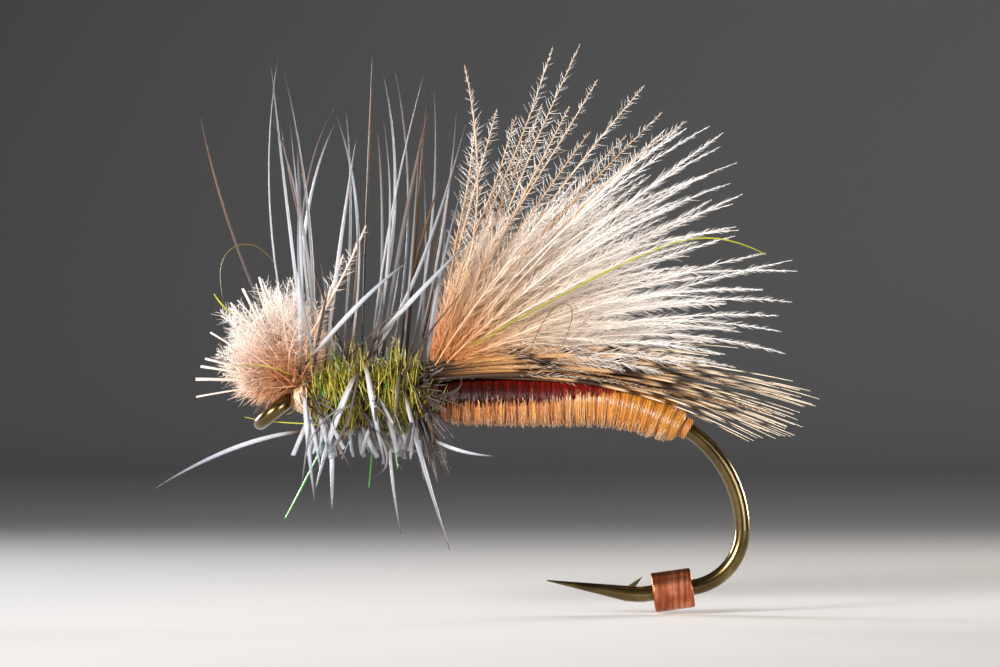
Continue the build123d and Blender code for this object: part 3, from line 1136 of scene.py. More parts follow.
@dataclass
class Underwing:
    """Barred flank fibres that lie back over the body, with one dark fringed barb.

    Attributes:
        root: where they are tied in.
        barbs: how many on each side.
        low: degrees of the lowest barb.
        high: degrees of the highest of the level ones.
        rising: how many lift clear into the wing above them.
        reach: length of the longest.
    """

    root: Point = (4.9, 0.0, 1.25)
    barbs: int = 30
    low: float = -11.2
    high: float = 1.5
    rising: int = 7
    reach: float = 13.3

    def blade(self, name: str, side: float, seed: int) -> Piece:
        """Builds the barred fibres of one side.

        Args:
            name: the piece's name.
            side: -1 for the near side, 1 for the far one.
            seed: for their chance.

        Returns:
            The piece.
        """
        rng, stations = np.random.default_rng(seed), 24
        angle = np.linspace(self.low, self.high, self.barbs) + rng.normal(0, 0.35, self.barbs)
        angle[-self.rising :] += rng.uniform(0.5, 4.5, self.rising)
        reach = self.reach * rng.uniform(0.9, 1.0, self.barbs) - 0.12 * np.abs(angle + 4)
        reach[-self.rising :] *= rng.uniform(0.68, 0.9, self.rising)
        lean = side * rng.uniform(0.0, 0.045, self.barbs)
        roots = np.array(self.root) + rng.normal(0, 1, (self.barbs, 3)) * np.array([0.1, 0.06, 0.04])
        order = np.clip((angle - self.low) / (self.high - self.low), 0, 1)
        roots[:, 1] += side * rng.uniform(0.1, 0.5, self.barbs)
        tips = roots + heading(angle, lean * (1 - 0.8 * order)) * reach[:, None]
        roots[:, 2] += 0.42 * (order - 0.45)
        rise = np.interp(order, [0, 0.7, 1], [1.2, 0.8, 0.55]) + rng.normal(0, 0.05, self.barbs)
        middles = (roots + tips) / 2 + np.stack([0 * rise, 0 * rise, rise], axis=-1) * 1.6
        roots[:, 1] += side * 0.12 * (1 - order)
        lines = bow(roots, middles, tips, stations)
        share = np.tile(np.linspace(0, 1, stations), (self.barbs, 1))
        along = share * rng.uniform(0.96, 1.03, (self.barbs, 1)) + rng.normal(0, 0.012, (self.barbs, 1))
        along = np.clip(along, 0, 1)
        facing = unit(np.array([0.0, side * 0.9, 0.45]) + rng.normal(0, 0.12, (self.barbs, 3)))
        stems = Bundle(
            spines=lines,
            radii=taper(rng.uniform(0.07, 0.095, self.barbs), (1.2, 1.45, 1.1, 0.42, 0.15), stations),
            facing=facing,
            along=along,
            tint=rng.uniform(0, 0.9, self.barbs),
            flat=0.4,
            sides=5,
        )
        web = Barbules(pairs=60, length=0.13, sweep=14.0, thickness=0.008, start=0.05, stray=0.3)
        hairs = web.grow(lines, facing, along, rng, tint=0.35)
        return weave(name, [stems, hairs], BARRED)

    def fringed(self) -> Piece:
        """Builds the dark barb with its white fringe.

        Returns:
            The piece.
        """
        rng, stations = np.random.default_rng(31), 20
        roots = np.array([[5.2, -0.5, 1.15], [5.3, -0.62, 1.05], [5.2, -0.4, 1.2]])
        tips = np.array([[17.1, -0.55, -0.15], [13.4, -0.7, 0.55], [11.9, -0.6, 1.0]])
        lines = arch(roots, tips, np.array([0.0, -0.1, 0.75]), stations)
        along = np.tile(np.interp(np.linspace(0, 1, stations), [0, 1], [0.36, 0.42]), (3, 1))
        facing = unit(np.tile([0.0, -1.0, 0.2], (3, 1)))
        stems = Bundle(
            spines=lines,
            radii=taper(np.array([0.075, 0.085, 0.09]), (1.0, 1.0, 0.8, 0.5, 0.15), stations),
            facing=facing,
            along=along,
            tint=np.array([0.8, 0.9, 0.7]),
            flat=0.5,
            sides=6,
        )
        web = Barbules(pairs=44, length=0.28, sweep=32.0, thickness=0.008, start=0.34, stray=0.4)
        fringe = web.grow(lines, facing, np.full_like(along, 0.98), rng, tint=0.0)
        return weave("underwing_dark_barb", [stems, fringe], BARRED)

    def build(self) -> list[Piece]:
        """Builds the underwing in place of its plain blades.

        Returns:
            The near side's fibres, the far side's and the dark barb.
        """
        near = self.blade("underwing_fibres_left", -1.0, 21)
        far = self.blade("underwing_fibres_right", 1.0, 22)
        dark = self.fringed()
        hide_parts("underwing_left")
        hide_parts("underwing_right")
        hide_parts("dark_barb")
        return [near, far, dark]


@dataclass
class HeadTuft:
    """The clipped butts of the wing's feathers, standing forward over the eye.

    Attributes:
        root: where they come out of the thread.
        outline: degrees from +X and how far the stems reach there.
        stems: how many.
        hairs: the barbules.
    """

    root: Point = (0.65, 0.0, 0.9)
    outline: Pairs = (
        (62.0, 2.3), (78.0, 3.1), (94.0, 3.6), (112.0, 3.7),
        (130.0, 3.5), (150.0, 3.2), (166.0, 2.6), (190.0, 1.8),
    )
    stems: int = 130
    hairs: Barbules = field(default_factory=lambda: Barbules(34, 0.85, 62.0, 0.0085, 0.1, 2.5))

    def build(self) -> list[Piece]:
        """Builds the tuft and its bare quills.

        Returns:
            The tuft and the quills.
        """
        rng, stations = np.random.default_rng(41), 8
        places, sizes = zip(*self.outline)
        angle = places[0] + (places[-1] - places[0]) * rng.beta(1.2, 1.2, self.stems)
        lean = rng.normal(0, 0.3, self.stems)
        reach = np.interp(angle, places, sizes) * rng.uniform(0.62, 1.02, self.stems)
        roots = np.array(self.root) + rng.normal(0, 1, (self.stems, 3)) * np.array([0.1, 0.16, 0.08])
        tips = np.array(self.root) + heading(angle, lean) * reach[:, None]
        lines = arch(roots, tips, rng.normal(0, 0.28, (self.stems, 3)), stations)
        from_root = np.linalg.norm(lines - np.array(self.root), axis=-1) / max(sizes)
        facing = unit(NEAR_SIDE + rng.normal(0, 0.5, (self.stems, 3)))
        stems = Bundle(
            spines=lines,
            radii=taper(rng.uniform(0.018, 0.034, self.stems), (1.0, 0.8, 0.5), stations),
            facing=facing,
            along=from_root,
            tint=rng.uniform(0, 0.7, self.stems),
        )
        hairs = self.hairs.grow(lines, facing, from_root, rng, tint=0.1)
        tuft = weave("head_tuft_down", [stems, hairs, *self.tall(rng)], TUFT)
        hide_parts("head_tuft")
        return [tuft, self.quills()]

    def tall(self, rng: Chance) -> list[Bundle]:
        """Grows the two fringed barbs that escaped the scissors and lean back among the hackle.

        Args:
            rng: where chance comes from.

        Returns:
            The barbs and their fringe.
        """
        stations = 12
        roots = np.array([[1.0, -0.9, 2.2], [0.9, -0.5, 2.0]])
        tips = np.array([[3.08, -1.6, 6.15], [2.3, -0.9, 5.2]])
        lines = arch(roots, tips, np.array([0.15, 0.0, -0.1]), stations)
        facing = np.tile(NEAR_SIDE, (2, 1))
        along = np.tile(np.linspace(0.35, 0.8, stations), (2, 1))
        stems = Bundle(
            spines=lines,
            radii=taper(np.array([0.045, 0.04]), (1.0, 0.9, 0.6), stations),
            facing=facing,
            along=along,
            tint=np.array([0.6, 0.7]),
            sides=5,
        )
        fringe = Barbules(pairs=34, length=0.5, sweep=62.0, thickness=0.011, start=0.05, stray=0.6)
        return [stems, fringe.grow(lines, facing, along, rng, tint=0.0)]

    def quills(self) -> Piece:
        """Builds the thick clipped quills that stand out of the tuft.

        Returns:
            The piece.
        """
        # each quill's degrees from +X, length, lean to +Y and half width
        chosen = (
            (177.0, 3.1, -0.16, 0.05), (168.5, 3.0, -0.2, 0.042), (163.0, 2.9, -0.1, 0.038),
            (188.0, 3.1, -0.14, 0.03), (115.0, 3.6, -0.25, 0.042), (105.0, 3.7, -0.1, 0.035),
            (146.0, 3.2, -0.3, 0.03), (126.0, 3.5, 0.3, 0.03),
        )
        count, stations = len(chosen), 8
        angle, length, side, width = (np.array(column) for column in zip(*chosen))
        roots = np.tile(self.root, (count, 1)) + np.array([-0.2, -0.1, 0.0])
        tips = roots + heading(angle, side) * length[:, None]
        bundle = Bundle(
            spines=arch(roots, tips, np.array([0.0, 0.0, 0.08]), stations),
            radii=taper(width, (0.7, 0.9, 1.0, 1.0, 1.05), stations),
            facing=np.tile(NEAR_SIDE, (count, 1)),
            along=np.tile(np.linspace(0, 1, stations), (count, 1)),
            tint=np.full(count, 0.1),
            sides=8,
        )
        piece = weave("tuft_clipped_quills", [bundle], QUILL)
        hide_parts("tuft_quills")
        return piece


@dataclass(frozen=True)
class Barb:
    """One hackle barb whose place is given.

    Attributes:
        root: where it leaves the thorax.
        via: a point half-way along it.
        tip: where it ends.
        width: its half width.
        tint: its shade, from 0 for white to 1 for brown.
    """

    root: Point
    via: Point
    tip: Point
    width: float
    tint: float


@dataclass
class Hackle:
    """Cock hackle wound through the thorax: shiny tapering barbs, clipped flat underneath.

    Attributes:
        height: of the shank.
        start: X of the first turn.
        rise: how far the turns run along the shank.
        stem: radius of the turns.
        upper: barbs of a turn that stand up or out by chance.
        lower: barbs of a turn that are clipped.
        reach: length of the longest barb.
        floor: Z of the clipped ends.
        shaft: half thickness of the stem.
        collars: X and number of each turn's short brown barbs.
        near: the barbs of the near side, turn by turn.
    """

    height: float = 0.39
    start: float = 1.1
    rise: float = 3.9
    stem: float = 1.0
    upper: int = 10
    lower: int = 22
    reach: float = 10.6
    floor: float = -1.4
    shaft: float = 0.05
    collars: dict[Turn, tuple[float, int]] = field(
        default_factory=lambda: {Turn.FRONT: (1.2, 22), Turn.MIDDLE: (3.15, 44), Turn.REAR: (5.0, 150)}
    )
    near: dict[Turn, tuple[Barb, ...]] = field(
        default_factory=lambda: {
            Turn.FRONT: (
                Barb((0.7, 0.4, 1.0), (-1.35, 0.8, 5.6), (-2.63, 1.2, 10.2), 0.06, 0.9),
                Barb((0.75, 0.1, 1.2), (-0.15, -0.3, 6.6), (0.15, -0.8, 11.8), 0.06, 0.4),
                Barb((1.1, -0.4, 1.3), (0.48, -0.7, 6.4), (-0.1, -1.1, 11.6), 0.06, 0.15),
                Barb((0.85, -0.9, 1.2), (0.9, -1.4, 5.0), (0.82, -1.8, 8.7), 0.11, 0.1),
                Barb((1.0, 0.5, 1.4), (0.9, 1.0, 6.7), (1.95, 1.5, 10.2), 0.045, 0.8),
                Barb((0.9, 0.3, 1.3), (0.98, 0.7, 6.1), (2.0, 1.0, 9.7), 0.075, 0.3),
                Barb((1.05, -1.1, 1.55), (2.9, -1.8, 3.6), (4.5, -2.5, 4.95), 0.09, 0.05),
                Barb((1.0, -0.9, -0.65), (-1.4, -1.4, -1.25), (-3.93, -2.0, -2.57), 0.085, 0.05),
                Barb((1.0, -1.1, 0.85), (1.15, -1.5, -0.9), (1.4, -1.8, -3.05), 0.09, 0.15),
                Barb((1.0, -1.1, 0.5), (1.35, -1.4, -0.8), (1.6, -1.6, -2.1), 0.08, 0.1),
                Barb((1.07, -1.1, 0.87), (1.85, -1.7, -0.5), (2.67, -2.2, -2.0), 0.05, 0.95),
                Barb((1.3, -0.9, 1.3), (1.6, -1.3, 3.0), (1.9, -1.6, 4.4), 0.07, 0.9),
            ),
            Turn.MIDDLE: (
                Barb((2.5, -0.4, 1.6), (2.78, -0.8, 6.2), (2.07, -1.2, 9.8), 0.065, 0.2),
                Barb((2.2, 0.3, 1.6), (2.5, 0.4, 6.2), (2.33, 0.5, 10.2), 0.05, 0.6),
                Barb((1.7, -0.8, 1.5), (2.2, -1.3, 5.4), (2.77, -1.7, 9.1), 0.095, 0.35),
                Barb((2.9, -0.3, 1.7), (3.08, -0.5, 7.0), (3.27, -0.7, 12.1), 0.05, 1.0),
                Barb((3.1, -0.7, 1.7), (4.0, -1.0, 6.6), (3.62, -1.3, 11.25), 0.065, 0.1),
                Barb((3.2, -0.9, 1.8), (3.95, -1.3, 6.7), (5.03, -1.6, 11.3), 0.075, 0.5),
                Barb((3.4, 0.4, 1.8), (3.55, 0.8, 6.0), (3.37, 1.1, 9.6), 0.05, 0.6),
                Barb((3.3, -1.1, 1.9), (4.9, -1.7, 4.9), (6.37, -2.2, 9.5), 0.075, 0.2),
                Barb((2.4, -1.0, 1.7), (2.7, -1.5, 3.8), (2.85, -1.9, 6.4), 0.085, 0.95),
                Barb((2.79, -1.2, 1.37), (2.05, -1.8, -0.4), (1.42, -2.3, -2.6), 0.13, 0.0),
                Barb((1.95, -1.1, -0.7), (1.95, -1.5, -2.0), (1.97, -1.8, -3.3), 0.085, 0.25),
                Barb((3.03, -1.2, 1.7), (3.35, -1.7, 0.0), (3.75, -2.1, -1.9), 0.105, 0.05),
                Barb((3.37, -1.1, 0.65), (3.9, -1.5, -0.3), (4.45, -1.9, -1.35), 0.07, 0.1),
                Barb((2.6, -1.1, 1.9), (3.6, -1.7, 2.9), (4.4, -2.1, 3.5), 0.05, 0.9),
                Barb((2.85, -1.2, 1.5), (2.6, -1.6, 0.2), (2.2, -1.9, -1.4), 0.06, 0.9),
            ),
            Turn.REAR: (
                Barb((3.9, -0.2, 1.8), (4.45, -0.4, 6.8), (3.97, -0.6, 11.5), 0.045, 0.7),
                Barb((4.5, -0.5, 1.8), (5.25, -0.8, 6.4), (5.3, -1.1, 10.9), 0.05, 0.5),
                Barb((3.6, -0.9, 1.8), (4.3, -1.4, 6.0), (5.17, -1.8, 10.1), 0.09, 0.8),
                Barb((4.7, -0.5, 1.9), (5.6, -0.9, 6.0), (6.07, -1.2, 10.1), 0.045, 0.4),
                Barb((4.2, -1.0, 1.9), (4.7, -1.5, 4.8), (5.6, -1.9, 7.8), 0.07, 1.0),
                Barb((3.3, -1.1, 2.3), (4.9, -2.0, 4.0), (6.5, -2.6, 5.65), 0.09, 0.1),
                Barb((4.33, -1.2, 0.75), (4.9, -1.7, -1.5), (5.85, -2.1, -4.55), 0.095, 0.1),
                Barb((3.85, -1.0, -0.9), (3.95, -1.4, -2.3), (4.23, -1.7, -4.05), 0.065, 0.5),
                Barb((5.2, -0.9, -0.9), (6.2, -1.3, -1.3), (7.33, -1.7, -1.47), 0.07, 0.05),
                Barb((4.6, -1.0, 1.8), (5.3, -1.3, 2.8), (6.4, -1.6, 4.1), 0.045, 0.95),
                Barb((4.2, -1.2, 1.7), (4.1, -1.7, 0.2), (3.8, -1.9, -1.45), 0.06, 0.9),
                Barb((4.4, -1.2, 1.4), (4.9, -1.6, 0.2), (5.5, -1.8, -1.3), 0.05, 1.0),
            ),
        }
    )

    def turn(self, kind: Turn) -> Piece:
        """Builds one turn of barbs.

        Args:
            kind: which turn.

        Returns:
            The piece.
        """
        share, mean, spread = kind.value
        rng = np.random.default_rng(50 + list(Turn).index(kind))
        bundles = [self.chosen(rng, kind), self.standing(rng, share, mean, spread), self.clipped(rng, share)]
        bundles.append(self.collar(rng, *self.collars[kind]))
        return weave(f"hackle_barbs_{kind.name.lower()}", bundles, HACKLE)

    def roots(self, rng: Chance, share: float, around: Array) -> tuple[Array, Array]:
        """Finds where barbs leave the stem.

        Args:
            rng: where chance comes from.
            share: how far along the hackle the turn stands.
            around: radians round the shank of each barb, from the top towards +Y.

        Returns:
            The places, and the ways out from the shank there.
        """
        out = outward(around)
        x = self.start + self.rise * share + rng.normal(0, 0.28, len(around))
        centre = np.stack([x, 0 * x, 0 * x + self.height], axis=-1)
        return centre + out * self.stem * rng.uniform(0.55, 1.0, (len(around), 1)), out

    def fibres(
        self, rng: Chance, lines: Array, width: Array, tint: Array, shape: tuple[float, ...]
    ) -> Bundle:
        """Makes flat barbs along centre lines.

        Args:
            rng: where chance comes from.
            lines: the centre lines.
            width: half width of each barb.
            tint: shade of each barb.
            shape: shares of full width from root to tip.

        Returns:
            The barbs.
        """
        count, stations = lines.shape[:2]
        return Bundle(
            spines=lines,
            radii=taper(width, shape, stations),
            facing=unit(NEAR_SIDE + rng.normal(0, 0.4, (count, 3))),
            along=np.tile(np.linspace(0, 1, stations), (count, 1)),
            tint=np.clip(tint, 0, 1),
            flat=0.28,
            sides=6,
        )

    def chosen(self, rng: Chance, kind: Turn) -> Bundle:
        """Makes the near side's barbs, each where it was combed to.

        Args:
            rng: where chance comes from.
            kind: which turn.

        Returns:
            The barbs.
        """
        barbs = self.near[kind]
        ends = np.array([(barb.root, barb.via, barb.tip) for barb in barbs])
        roots, vias, tips = ends[:, 0], ends[:, 1], ends[:, 2]
        lines = bow(roots, 2 * vias - (roots + tips) / 2, tips, 18)
        width = np.array([barb.width for barb in barbs])
        tint = np.array([barb.tint for barb in barbs])
        return self.fibres(rng, lines, width, tint, (0.5, 0.85, 1.0, 0.95, 0.75, 0.5, 0.12))

    def standing(self, rng: Chance, share: float, mean: float, spread: float) -> Bundle:
        """Grows the long barbs of the top and the far side.

        Args:
            rng: where chance comes from.
            share: how far along the hackle the turn stands.
            mean: degrees by which the barbs lean to the bend.
            spread: how far that varies.

        Returns:
            The barbs.
        """
        around = np.radians(rng.uniform(-115, 115, self.upper))
        around = np.where(np.abs(around + 0.9) < 0.35, around + 1.4, around)
        roots, out = self.roots(rng, share, around)
        lean = np.radians(rng.normal(mean, spread, self.upper))
        ways = out * np.cos(lean)[:, None] + TO_BEND * np.sin(lean)[:, None]
        length = self.reach * rng.uniform(0.68, 1.0, self.upper) * (1 - 0.24 * np.abs(np.sin(around)))
        tips = roots + ways * length[:, None]
        lines = arch(roots, tips, rng.normal(0, 0.08, (self.upper, 3)) * length[:, None], 14)
        tint = 0.2 + 0.8 * rng.beta(0.9, 0.9, self.upper)
        width = rng.uniform(0.045, 0.08, self.upper)
        return self.fibres(rng, lines, width, tint, (0.5, 0.85, 1.0, 0.8, 0.6, 0.35, 0.08))

    def clipped(self, rng: Chance, share: float) -> Bundle:
        """Grows the barbs that scissors have cut level underneath.

        Args:
            rng: where chance comes from.
            share: how far along the hackle the turn stands.

        Returns:
            The barbs.
        """
        around = np.pi + np.radians(rng.normal(0, 42, self.lower))
        roots, out = self.roots(rng, share, around)
        lean = np.radians(rng.normal(0, 14, self.lower))
        ways = unit(out * np.cos(lean)[:, None] + TO_BEND * np.sin(lean)[:, None])
        fall = np.minimum(ways[:, 2], -0.35)
        length = np.clip((self.floor + rng.normal(0, 0.12, self.lower) - roots[:, 2]) / fall, 0.5, 3.0)
        tips = roots + ways * length[:, None]
        lines = arch(roots, tips, rng.normal(0, 0.06, (self.lower, 3)), 8)
        width = rng.uniform(0.06, 0.1, self.lower)
        bundle = self.fibres(rng, lines, width, rng.beta(0.7, 1.2, self.lower), (0.7, 1.0, 0.95, 0.9))
        bundle.along = 0.05 + bundle.along * 0.6
        return bundle

    def collar(self, rng: Chance, x: float, count: int) -> Bundle:
        """Grows the short brown barbs at the foot of a turn.

        Args:
            rng: where chance comes from.
            x: where the turn stands.
            count: how many.

        Returns:
            The barbs.
        """
        around = rng.uniform(-np.pi, np.pi, count)
        out = outward(around)
        roots = np.array([x, 0.0, self.height]) + out * rng.uniform(0.75, 1.0, (count, 1))
        roots[:, 0] += rng.uniform(-0.3, 0.25, count)
        ways = unit(out * 0.75 + TO_BEND * rng.uniform(0.0, 0.8, (count, 1)) + [0.0, 0.0, -0.35])
        length = rng.uniform(0.6, 2.0, count) * np.where(out[:, 2] > 0.3, 0.5, 1.0)
        tips = roots + ways * length[:, None]
        lines = arch(roots, tips, out * 0.03, 7)
        width, tint = rng.uniform(0.024, 0.052, count), rng.uniform(0.72, 1.0, count)
        bundle = self.fibres(rng, lines, width, tint, (0.8, 1.0, 0.8, 0.4))
        bundle.along = bundle.along * 0.62
        return bundle

    def quill(self) -> Piece:
        """Winds the hackle's stem through the dubbing.

        Returns:
            The piece.
        """
        share = np.linspace(0, 1, 120)
        line = coil(self.start + self.rise * share, 2 * np.pi * len(Turn) * share, self.stem, self.height)
        stem = single(line, np.full_like(share, self.shaft), np.zeros_like(share), TO_BEND, 0.5, 8)
        piece = weave("hackle_quill", [stem], HACKLE)
        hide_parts("hackle_stem")
        return piece

    def build(self) -> list[Piece]:
        """Builds the stem and the three turns in place of their plain solids.

        Returns:
            The pieces.
        """
        pieces = [self.quill()]
        for kind in Turn:
            piece = self.turn(kind)
            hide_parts(f"hackle_{kind.name.lower()}")
            pieces.append(piece)
        return pieces


# ---------------------------------------------------------------- thorax


@dataclass
class Thorax:
    """Two balls of shaggy dubbing with bright fibres and green flash.

    Attributes:
        height: of the shank.
        radius: of the dense part.
        fibres: loose fibres on each ball.
        flecks: bits of flash on each ball.
        edge: radians of a half turn by which a ball's ends stay open.
        hair: shortest and longest loose fibre.
        bit: shortest and longest bit of flash.
    """

    height: float = 0.39
    radius: float = 1.02
    fibres: int = 900
    flecks: int = 26
    edge: float = 0.12
    hair: tuple[float, float] = (0.7, 2.2)
    bit: tuple[float, float] = (0.4, 1.1)

    def ball(self, name: str, start: float, end: float, seed: int) -> list[Piece]:
        """Builds one ball.

        Args:
            name: front or rear.
            start: X of its front.
            end: X of its back.
            seed: for its chance.

        Returns:
            The dubbing and its flash.
        """
        rng = np.random.default_rng(seed)
        stations = 24
        x = np.linspace(start, end, stations)
        swell = np.sin(np.linspace(self.edge, np.pi - self.edge, stations)) ** 0.4 * self.radius
        centre = np.stack([x, 0 * x, 0 * x + self.height], axis=-1)
        # the core takes the darkest brown, which shows between the loose fibres partly as painted shade
        core = single(centre, swell * rng.uniform(0.9, 1.0, stations), 0 * x, FAR_SIDE, 0.95, 24)
        loose = self.scatter(rng, self.fibres, start, end, self.hair, 0.026)
        piece = weave(f"dubbing_fibres_{name}", [core, loose], DUBBING)
        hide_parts(f"dubbing_{name}")
        bits = self.scatter(rng, self.flecks, start, end, self.bit, 0.035)
        bits.flat = 0.15
        flash = weave(f"flash_flecks_{name}", [bits], FLASH)
        return [piece, flash]

    def scatter(
        self, rng: Chance, count: int, start: float, end: float, span: tuple[float, float], width: float
    ) -> Bundle:
        """Scatters curved fibres over a ball.

        Args:
            rng: where chance comes from.
            count: how many.
            start: X of the ball's front.
            end: X of its back.
            span: shortest and longest fibre.
            width: mean half width.

        Returns:
            The fibres.
        """
        stations = 9
        step = np.linspace(0, 1, stations)[None]
        share = rng.beta(1.1, 1.1, count)
        skin = np.sin(self.edge + share * (np.pi - 2 * self.edge)) ** 0.4 * self.radius
        skin *= rng.uniform(0.9, 1.06, count)
        length = rng.uniform(*span, count)
        hand = rng.choice([-1.0, 1.0], count)
        around = rng.uniform(0, 2 * np.pi, (count, 1)) + (hand * length / skin)[:, None] * step
        shaggy = 1 + 1.3 * np.clip(np.cos(around), -0.3, 1)
        proud = rng.uniform(0.02, 0.5, (count, 1)) ** 2 * shaggy * 2.4 * step**1.5 + 0.04 * np.sin(9 * step)
        radius = skin[:, None] + proud
        wave = 0.05 * np.sin(7 * step + rng.uniform(0, 6, (count, 1)))
        x = (start + share * (end - start))[:, None] + rng.normal(0, 0.42, (count, 1)) * step + wave
        widths = width * rng.choice([0.4, 0.6, 1.1], count) * rng.uniform(0.8, 1.2, count)
        return Bundle(
            spines=coil(x, around, radius, self.height),
            radii=taper(widths, (0.8, 1.0, 0.9, 0.4), stations),
            facing=outward(around[:, stations // 2]),
            along=np.tile(step, (count, 1)),
            tint=np.where(rng.random(count) < 0.5, rng.uniform(0, 0.4, count), rng.uniform(0.6, 1.0, count)),
            flat=0.5,
        )

    def build(self) -> list[Piece]:
        """Builds both balls in their frame nodes' places.

        Returns:
            The dubbing and the flash of each.
        """
        pieces = []
        for name, seed in (("front", 61), ("rear", 62)):
            low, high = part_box(f"dubbing_{name}")
            pieces += self.ball(name, low.x / MM, high.x / MM, seed)
        return pieces


@dataclass(frozen=True)
class Hair:
    """One stray hair or strand.

    Attributes:
        points: what its line follows.
        width: half of its thickness.
        tint: its shade.
    """

    points: tuple[Point, ...]
    width: float
    tint: float = 0.1

    def bundle(self) -> Bundle:
        """Draws the hair along a smooth curve.

        Returns:
            A bundle of one.
        """
        curve = bpy.data.curves.new("hair", "CURVE")
        curve.dimensions = "3D"
        spline = curve.splines.new("NURBS")
        spline.points.add(len(self.points) - 1)
        for point, place in zip(spline.points, self.points):
            point.co = (*place, 1.0)
        spline.order_u = min(4, len(self.points))
        spline.use_endpoint_u = True
        holder = put("hair", curve)
        mesh = bpy.data.meshes.new_from_object(holder.evaluated_get(bpy.context.evaluated_depsgraph_get()))
        line = np.array([vertex.co for vertex in mesh.vertices])
        bpy.data.objects.remove(holder)
        stations = 24
        even = np.linspace(0, len(line) - 1, stations)
        line = np.stack([np.interp(even, np.arange(len(line)), line[:, i]) for i in range(3)], axis=-1)
        radii = taper(np.array([self.width]), (0.8, 1.0, 1.0, 0.5), stations)[0]
        return single(line, radii, np.linspace(0, 1, stations), np.array([0.0, -1.0, 0.13]), self.tint, 5)


@dataclass
class LooseEnds:
    """Stray hairs that a tier leaves in: flash below, olive and brown hairs above.

    Attributes:
        flash: green strands under the thorax.
        hairs: olive and brown hairs in the wing and tuft.
    """

    flash: tuple[Hair, ...] = (
        Hair(((1.9, -0.9, -0.6), (1.5, -1.0, -1.4), (0.9, -1.1, -2.6), (0.38, -1.1, -3.55)), 0.035, 0.2),
        Hair(((3.3, 0.8, -0.6), (3.2, 1.0, -1.4), (3.1, 1.1, -2.6)), 0.03, 0.5),
        Hair(((3.8, -0.9, -0.5), (4.0, -1.0, -1.1), (4.1, -1.0, -1.9)), 0.03, 0.4),
    )
    hairs: tuple[Hair, ...] = (
        Hair(
            ((6.6, -0.9, 2.2), (9.2, -1.1, 3.7), (12.4, -1.1, 5.4), (14.6, -1.0, 6.1), (16.3, -1.0, 5.2)),
            0.035,
            0.0,
        ),
        Hair(
            ((8.4, -1.2, 1.7), (8.9, -1.3, 3.3), (10.0, -1.3, 4.0), (10.0, -1.3, 2.9), (9.2, -1.2, 1.5)),
            0.016,
            0.8,
        ),
        Hair(
            ((-1.7, -0.3, 3.6), (-2.0, -0.3, 4.9), (-1.3, -0.3, 5.8), (-0.4, -0.3, 5.5), (0.0, -0.3, 4.9)),
            0.015,
            0.8,
        ),
        Hair(((-1.4, -0.5, 3.2), (-1.75, -0.6, 3.5), (-2.0, -0.6, 3.9)), 0.035, 0.1),
        Hair(((-1.0, -0.3, -0.2), (0.1, -0.5, -0.45), (0.9, -0.5, -0.35), (1.7, -0.8, -0.5)), 0.024, 0.0),
        Hair(((-1.2, -0.8, 1.5), (-0.3, -0.9, 1.65), (0.6, -0.8, 1.2)), 0.02, 0.05),
    )

    def build(self) -> list[Piece]:
        """Builds the strands and the hairs.

        Returns:
            The flash strands and the stray hairs.
        """
        strands = weave("flash_strands_green", [hair.bundle() for hair in self.flash], FLASH)
        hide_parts("flash_strands")
        hairs = weave("stray_hairs", [hair.bundle() for hair in self.hairs], OLIVE_HAIR)
        return [strands, hairs]


@dataclass
class Head:
    """The thread that closes the fly behind its eye, wound over the wire.

    Attributes:
        turns: of thread in the head.
        width: half thickness of the thread.
        swell: radius of the winding at each share of its length.
        stations: points on each turn.
    """

    turns: int = 10
    width: float = 0.036
    swell: Pairs = ((0.0, 0.3), (0.35, 0.4), (0.8, 0.44), (1.0, 0.4))
    stations: int = 22

    def build(self) -> list[Piece]:
        """Winds the head in place of its plain barrel.

        Returns:
            The winding.
        """
        low, high = (np.array(corner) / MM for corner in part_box("head_thread"))
        share = np.linspace(0, 1, self.turns * self.stations)
        swell = np.interp(share, *zip(*self.swell))
        x = low[0] + (high[0] - low[0]) * share
        line = coil(x, 2 * np.pi * self.turns * share, swell, (low[2] + high[2]) / 2)
        winding = single(line, np.full_like(share, self.width), share, TO_BEND, 0.2, 8)
        piece = weave("head_windings", [winding], PEACH_THREAD)
        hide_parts("head_thread")
        return [piece]


# ---------------------------------------------------------------- studio


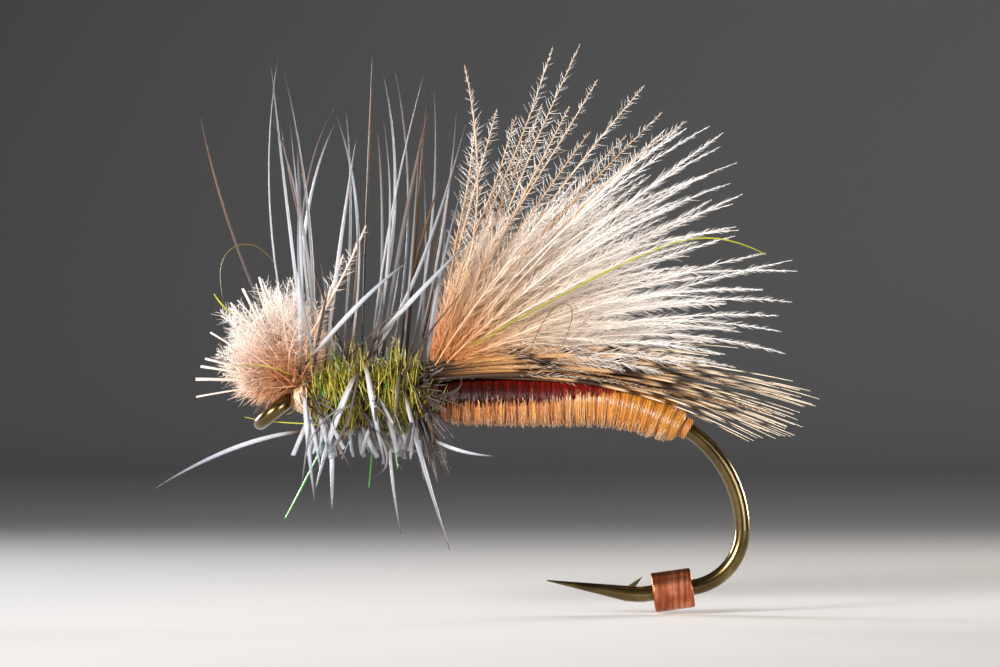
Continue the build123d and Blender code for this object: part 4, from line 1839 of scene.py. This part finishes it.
@dataclass
class Studio:
    """A pale table that curves up behind the fly, soft lamps and a long lens.

    Attributes:
        aim: what the camera looks at.
        view: how many millimetres the picture is wide, at the aim.
        lens: the lens's focal length.
        table: Z of the table.
        half: half the table's side, in metres.
        ahead: how far the table is moved towards the lens, in metres.
        rise: height of the backdrop, in metres.
        bend: run of the curve between table and backdrop, in metres.
        spread: degrees over which a lamp's grid lets its light out.
        lamps: name, place, size in millimetres, watts and colour of each.
        room: colour and strength of the light that comes from all round.
    """

    aim: Point = (7.5, 0.0, 2.58)
    view: float = 33.34
    lens: float = 180.0
    table: float = -6.78
    half: float = 0.6
    ahead: float = 0.3
    rise: float = 0.7
    bend: float = 0.12
    spread: float = 70.0
    lamps: tuple[tuple[str, Point, float, float, str], ...] = (
        ("key", (-70.0, -105.0, 40.0), 45.0, 0.056, "fffcf8"),
        ("fill", (85.0, -100.0, 12.0), 60.0, 0.014, "f2f5ff"),
        ("rim_left", (-95.0, 60.0, 22.0), 40.0, 0.04, "f2f6ff"),
        ("rim_right", (110.0, 60.0, 22.0), 40.0, 0.034, "fff4e6"),
    )
    room: tuple[str, float] = ("b9bcc4", 0.14)

    def sweep(self) -> Piece:
        """Builds the table and the backdrop as one curved board.

        Returns:
            The board.
        """
        bm = bmesh.new()
        bmesh.ops.create_grid(bm, x_segments=1, y_segments=1, size=self.half)
        bmesh.ops.translate(bm, verts=bm.verts, vec=(0.0, -self.ahead, self.table * MM))
        back = [edge for edge in bm.edges if all(vertex.co.y > 0 for vertex in edge.verts)]
        raised = bmesh.ops.extrude_edge_only(bm, edges=back)["geom"]
        top = [corner for corner in raised if isinstance(corner, bmesh.types.BMVert)]
        bmesh.ops.translate(bm, verts=top, vec=(0, 0, self.rise))
        curve = {"offset": self.bend, "offset_type": "OFFSET", "segments": 24, "profile": 0.5}
        bmesh.ops.bevel(bm, geom=back, affect="EDGES", material=-1, **curve)
        bmesh.ops.recalc_face_normals(bm, faces=bm.faces)
        mesh = bpy.data.meshes.new("table")
        bm.to_mesh(mesh)
        bm.free()
        mesh.shade_smooth()
        mesh.materials.append(Board().material())
        board = put("table", mesh)
        return board

    def lamp(self, name: str, place: Point, size: float, watts: float, colour: str) -> None:
        """Hangs one soft lamp that faces the fly.

        Args:
            name: of the lamp.
            place: where it hangs, in millimetres.
            size: of its square face.
            watts: its power.
            colour: its light.
        """
        light = bpy.data.lights.new(name, "AREA")
        light.size = size * MM
        light.spread = np.radians(self.spread)
        light.energy = watts
        light.color = linear(colour)[:3]
        holder = put(name, light)
        holder.location = Vector(place) * MM
        holder.rotation_euler = (Vector(self.aim) - Vector(place)).to_track_quat("-Z", "Y").to_euler()

    def build(self) -> None:
        """Sets the table, the lamps, the room's light and the camera."""
        self.sweep()
        for lamp in self.lamps:
            self.lamp(*lamp)
        room = bpy.data.worlds.new("room")
        room.use_nodes = True
        light = room.node_tree.nodes["Background"].inputs
        light["Color"].default_value = linear(self.room[0])
        light["Strength"].default_value = self.room[1]
        bpy.context.scene.world = room
        camera = bpy.data.cameras.new("camera")
        camera.lens = self.lens
        camera.clip_start = 0.005
        holder = put("camera", camera)
        distance = self.view * self.lens / camera.sensor_width * MM
        holder.location = Vector(self.aim) * MM + Vector((0, -distance, 0))
        holder.rotation_euler = (np.pi / 2, 0, 0)
        bpy.context.scene.camera = holder
        bpy.context.scene.view_settings.view_transform = "Standard"


def dress_frame(nodes: dict[str, Piece]) -> None:
    """Gives each CAD node that stays in sight its finish.

    Args:
        nodes: the frame's nodes by name.
    """
    varnish = Plain("head_varnish", "efc8a6", "d79c72", depth_mm=0.004, roughness=0.18, coat=1.0).material()
    thread = Plain("waxed_thread", "d9b48a", "8a5f38").material()
    brown = Plain("brown_thread", "5a3a20", "2c1a0e").material()
    finishes = {
        "hook": BronzedWire().material(),
        "copper_sleeve": WornCopper().material(),
        "head_cement": varnish,
        "thread_base": thread,
        "tail_wrap": Plain("amber_thread", "b8742c", "6e3a0e").material(),
        "wing_band": brown,
        "tuft_band": brown,
    }
    for name, finish in finishes.items():
        nodes[name].data.materials.clear()
        nodes[name].data.materials.append(finish)


def main() -> None:
    """Builds the fly, dresses it and lights it."""
    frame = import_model()
    dress_frame(frame["nodes"])
    pieces = FlossBody().build(np.random.default_rng(5))
    for part in (Wing(), Underwing(), HeadTuft(), Thorax(), Hackle(), LooseEnds(), Head()):
        pieces += part.build()
    Studio().build()
    log.info("%d pieces, %d faces", len(pieces), sum(len(piece.data.polygons) for piece in pieces))


if __name__ == "__main__":
    logging.basicConfig(level=logging.INFO, format="%(message)s")
    main()
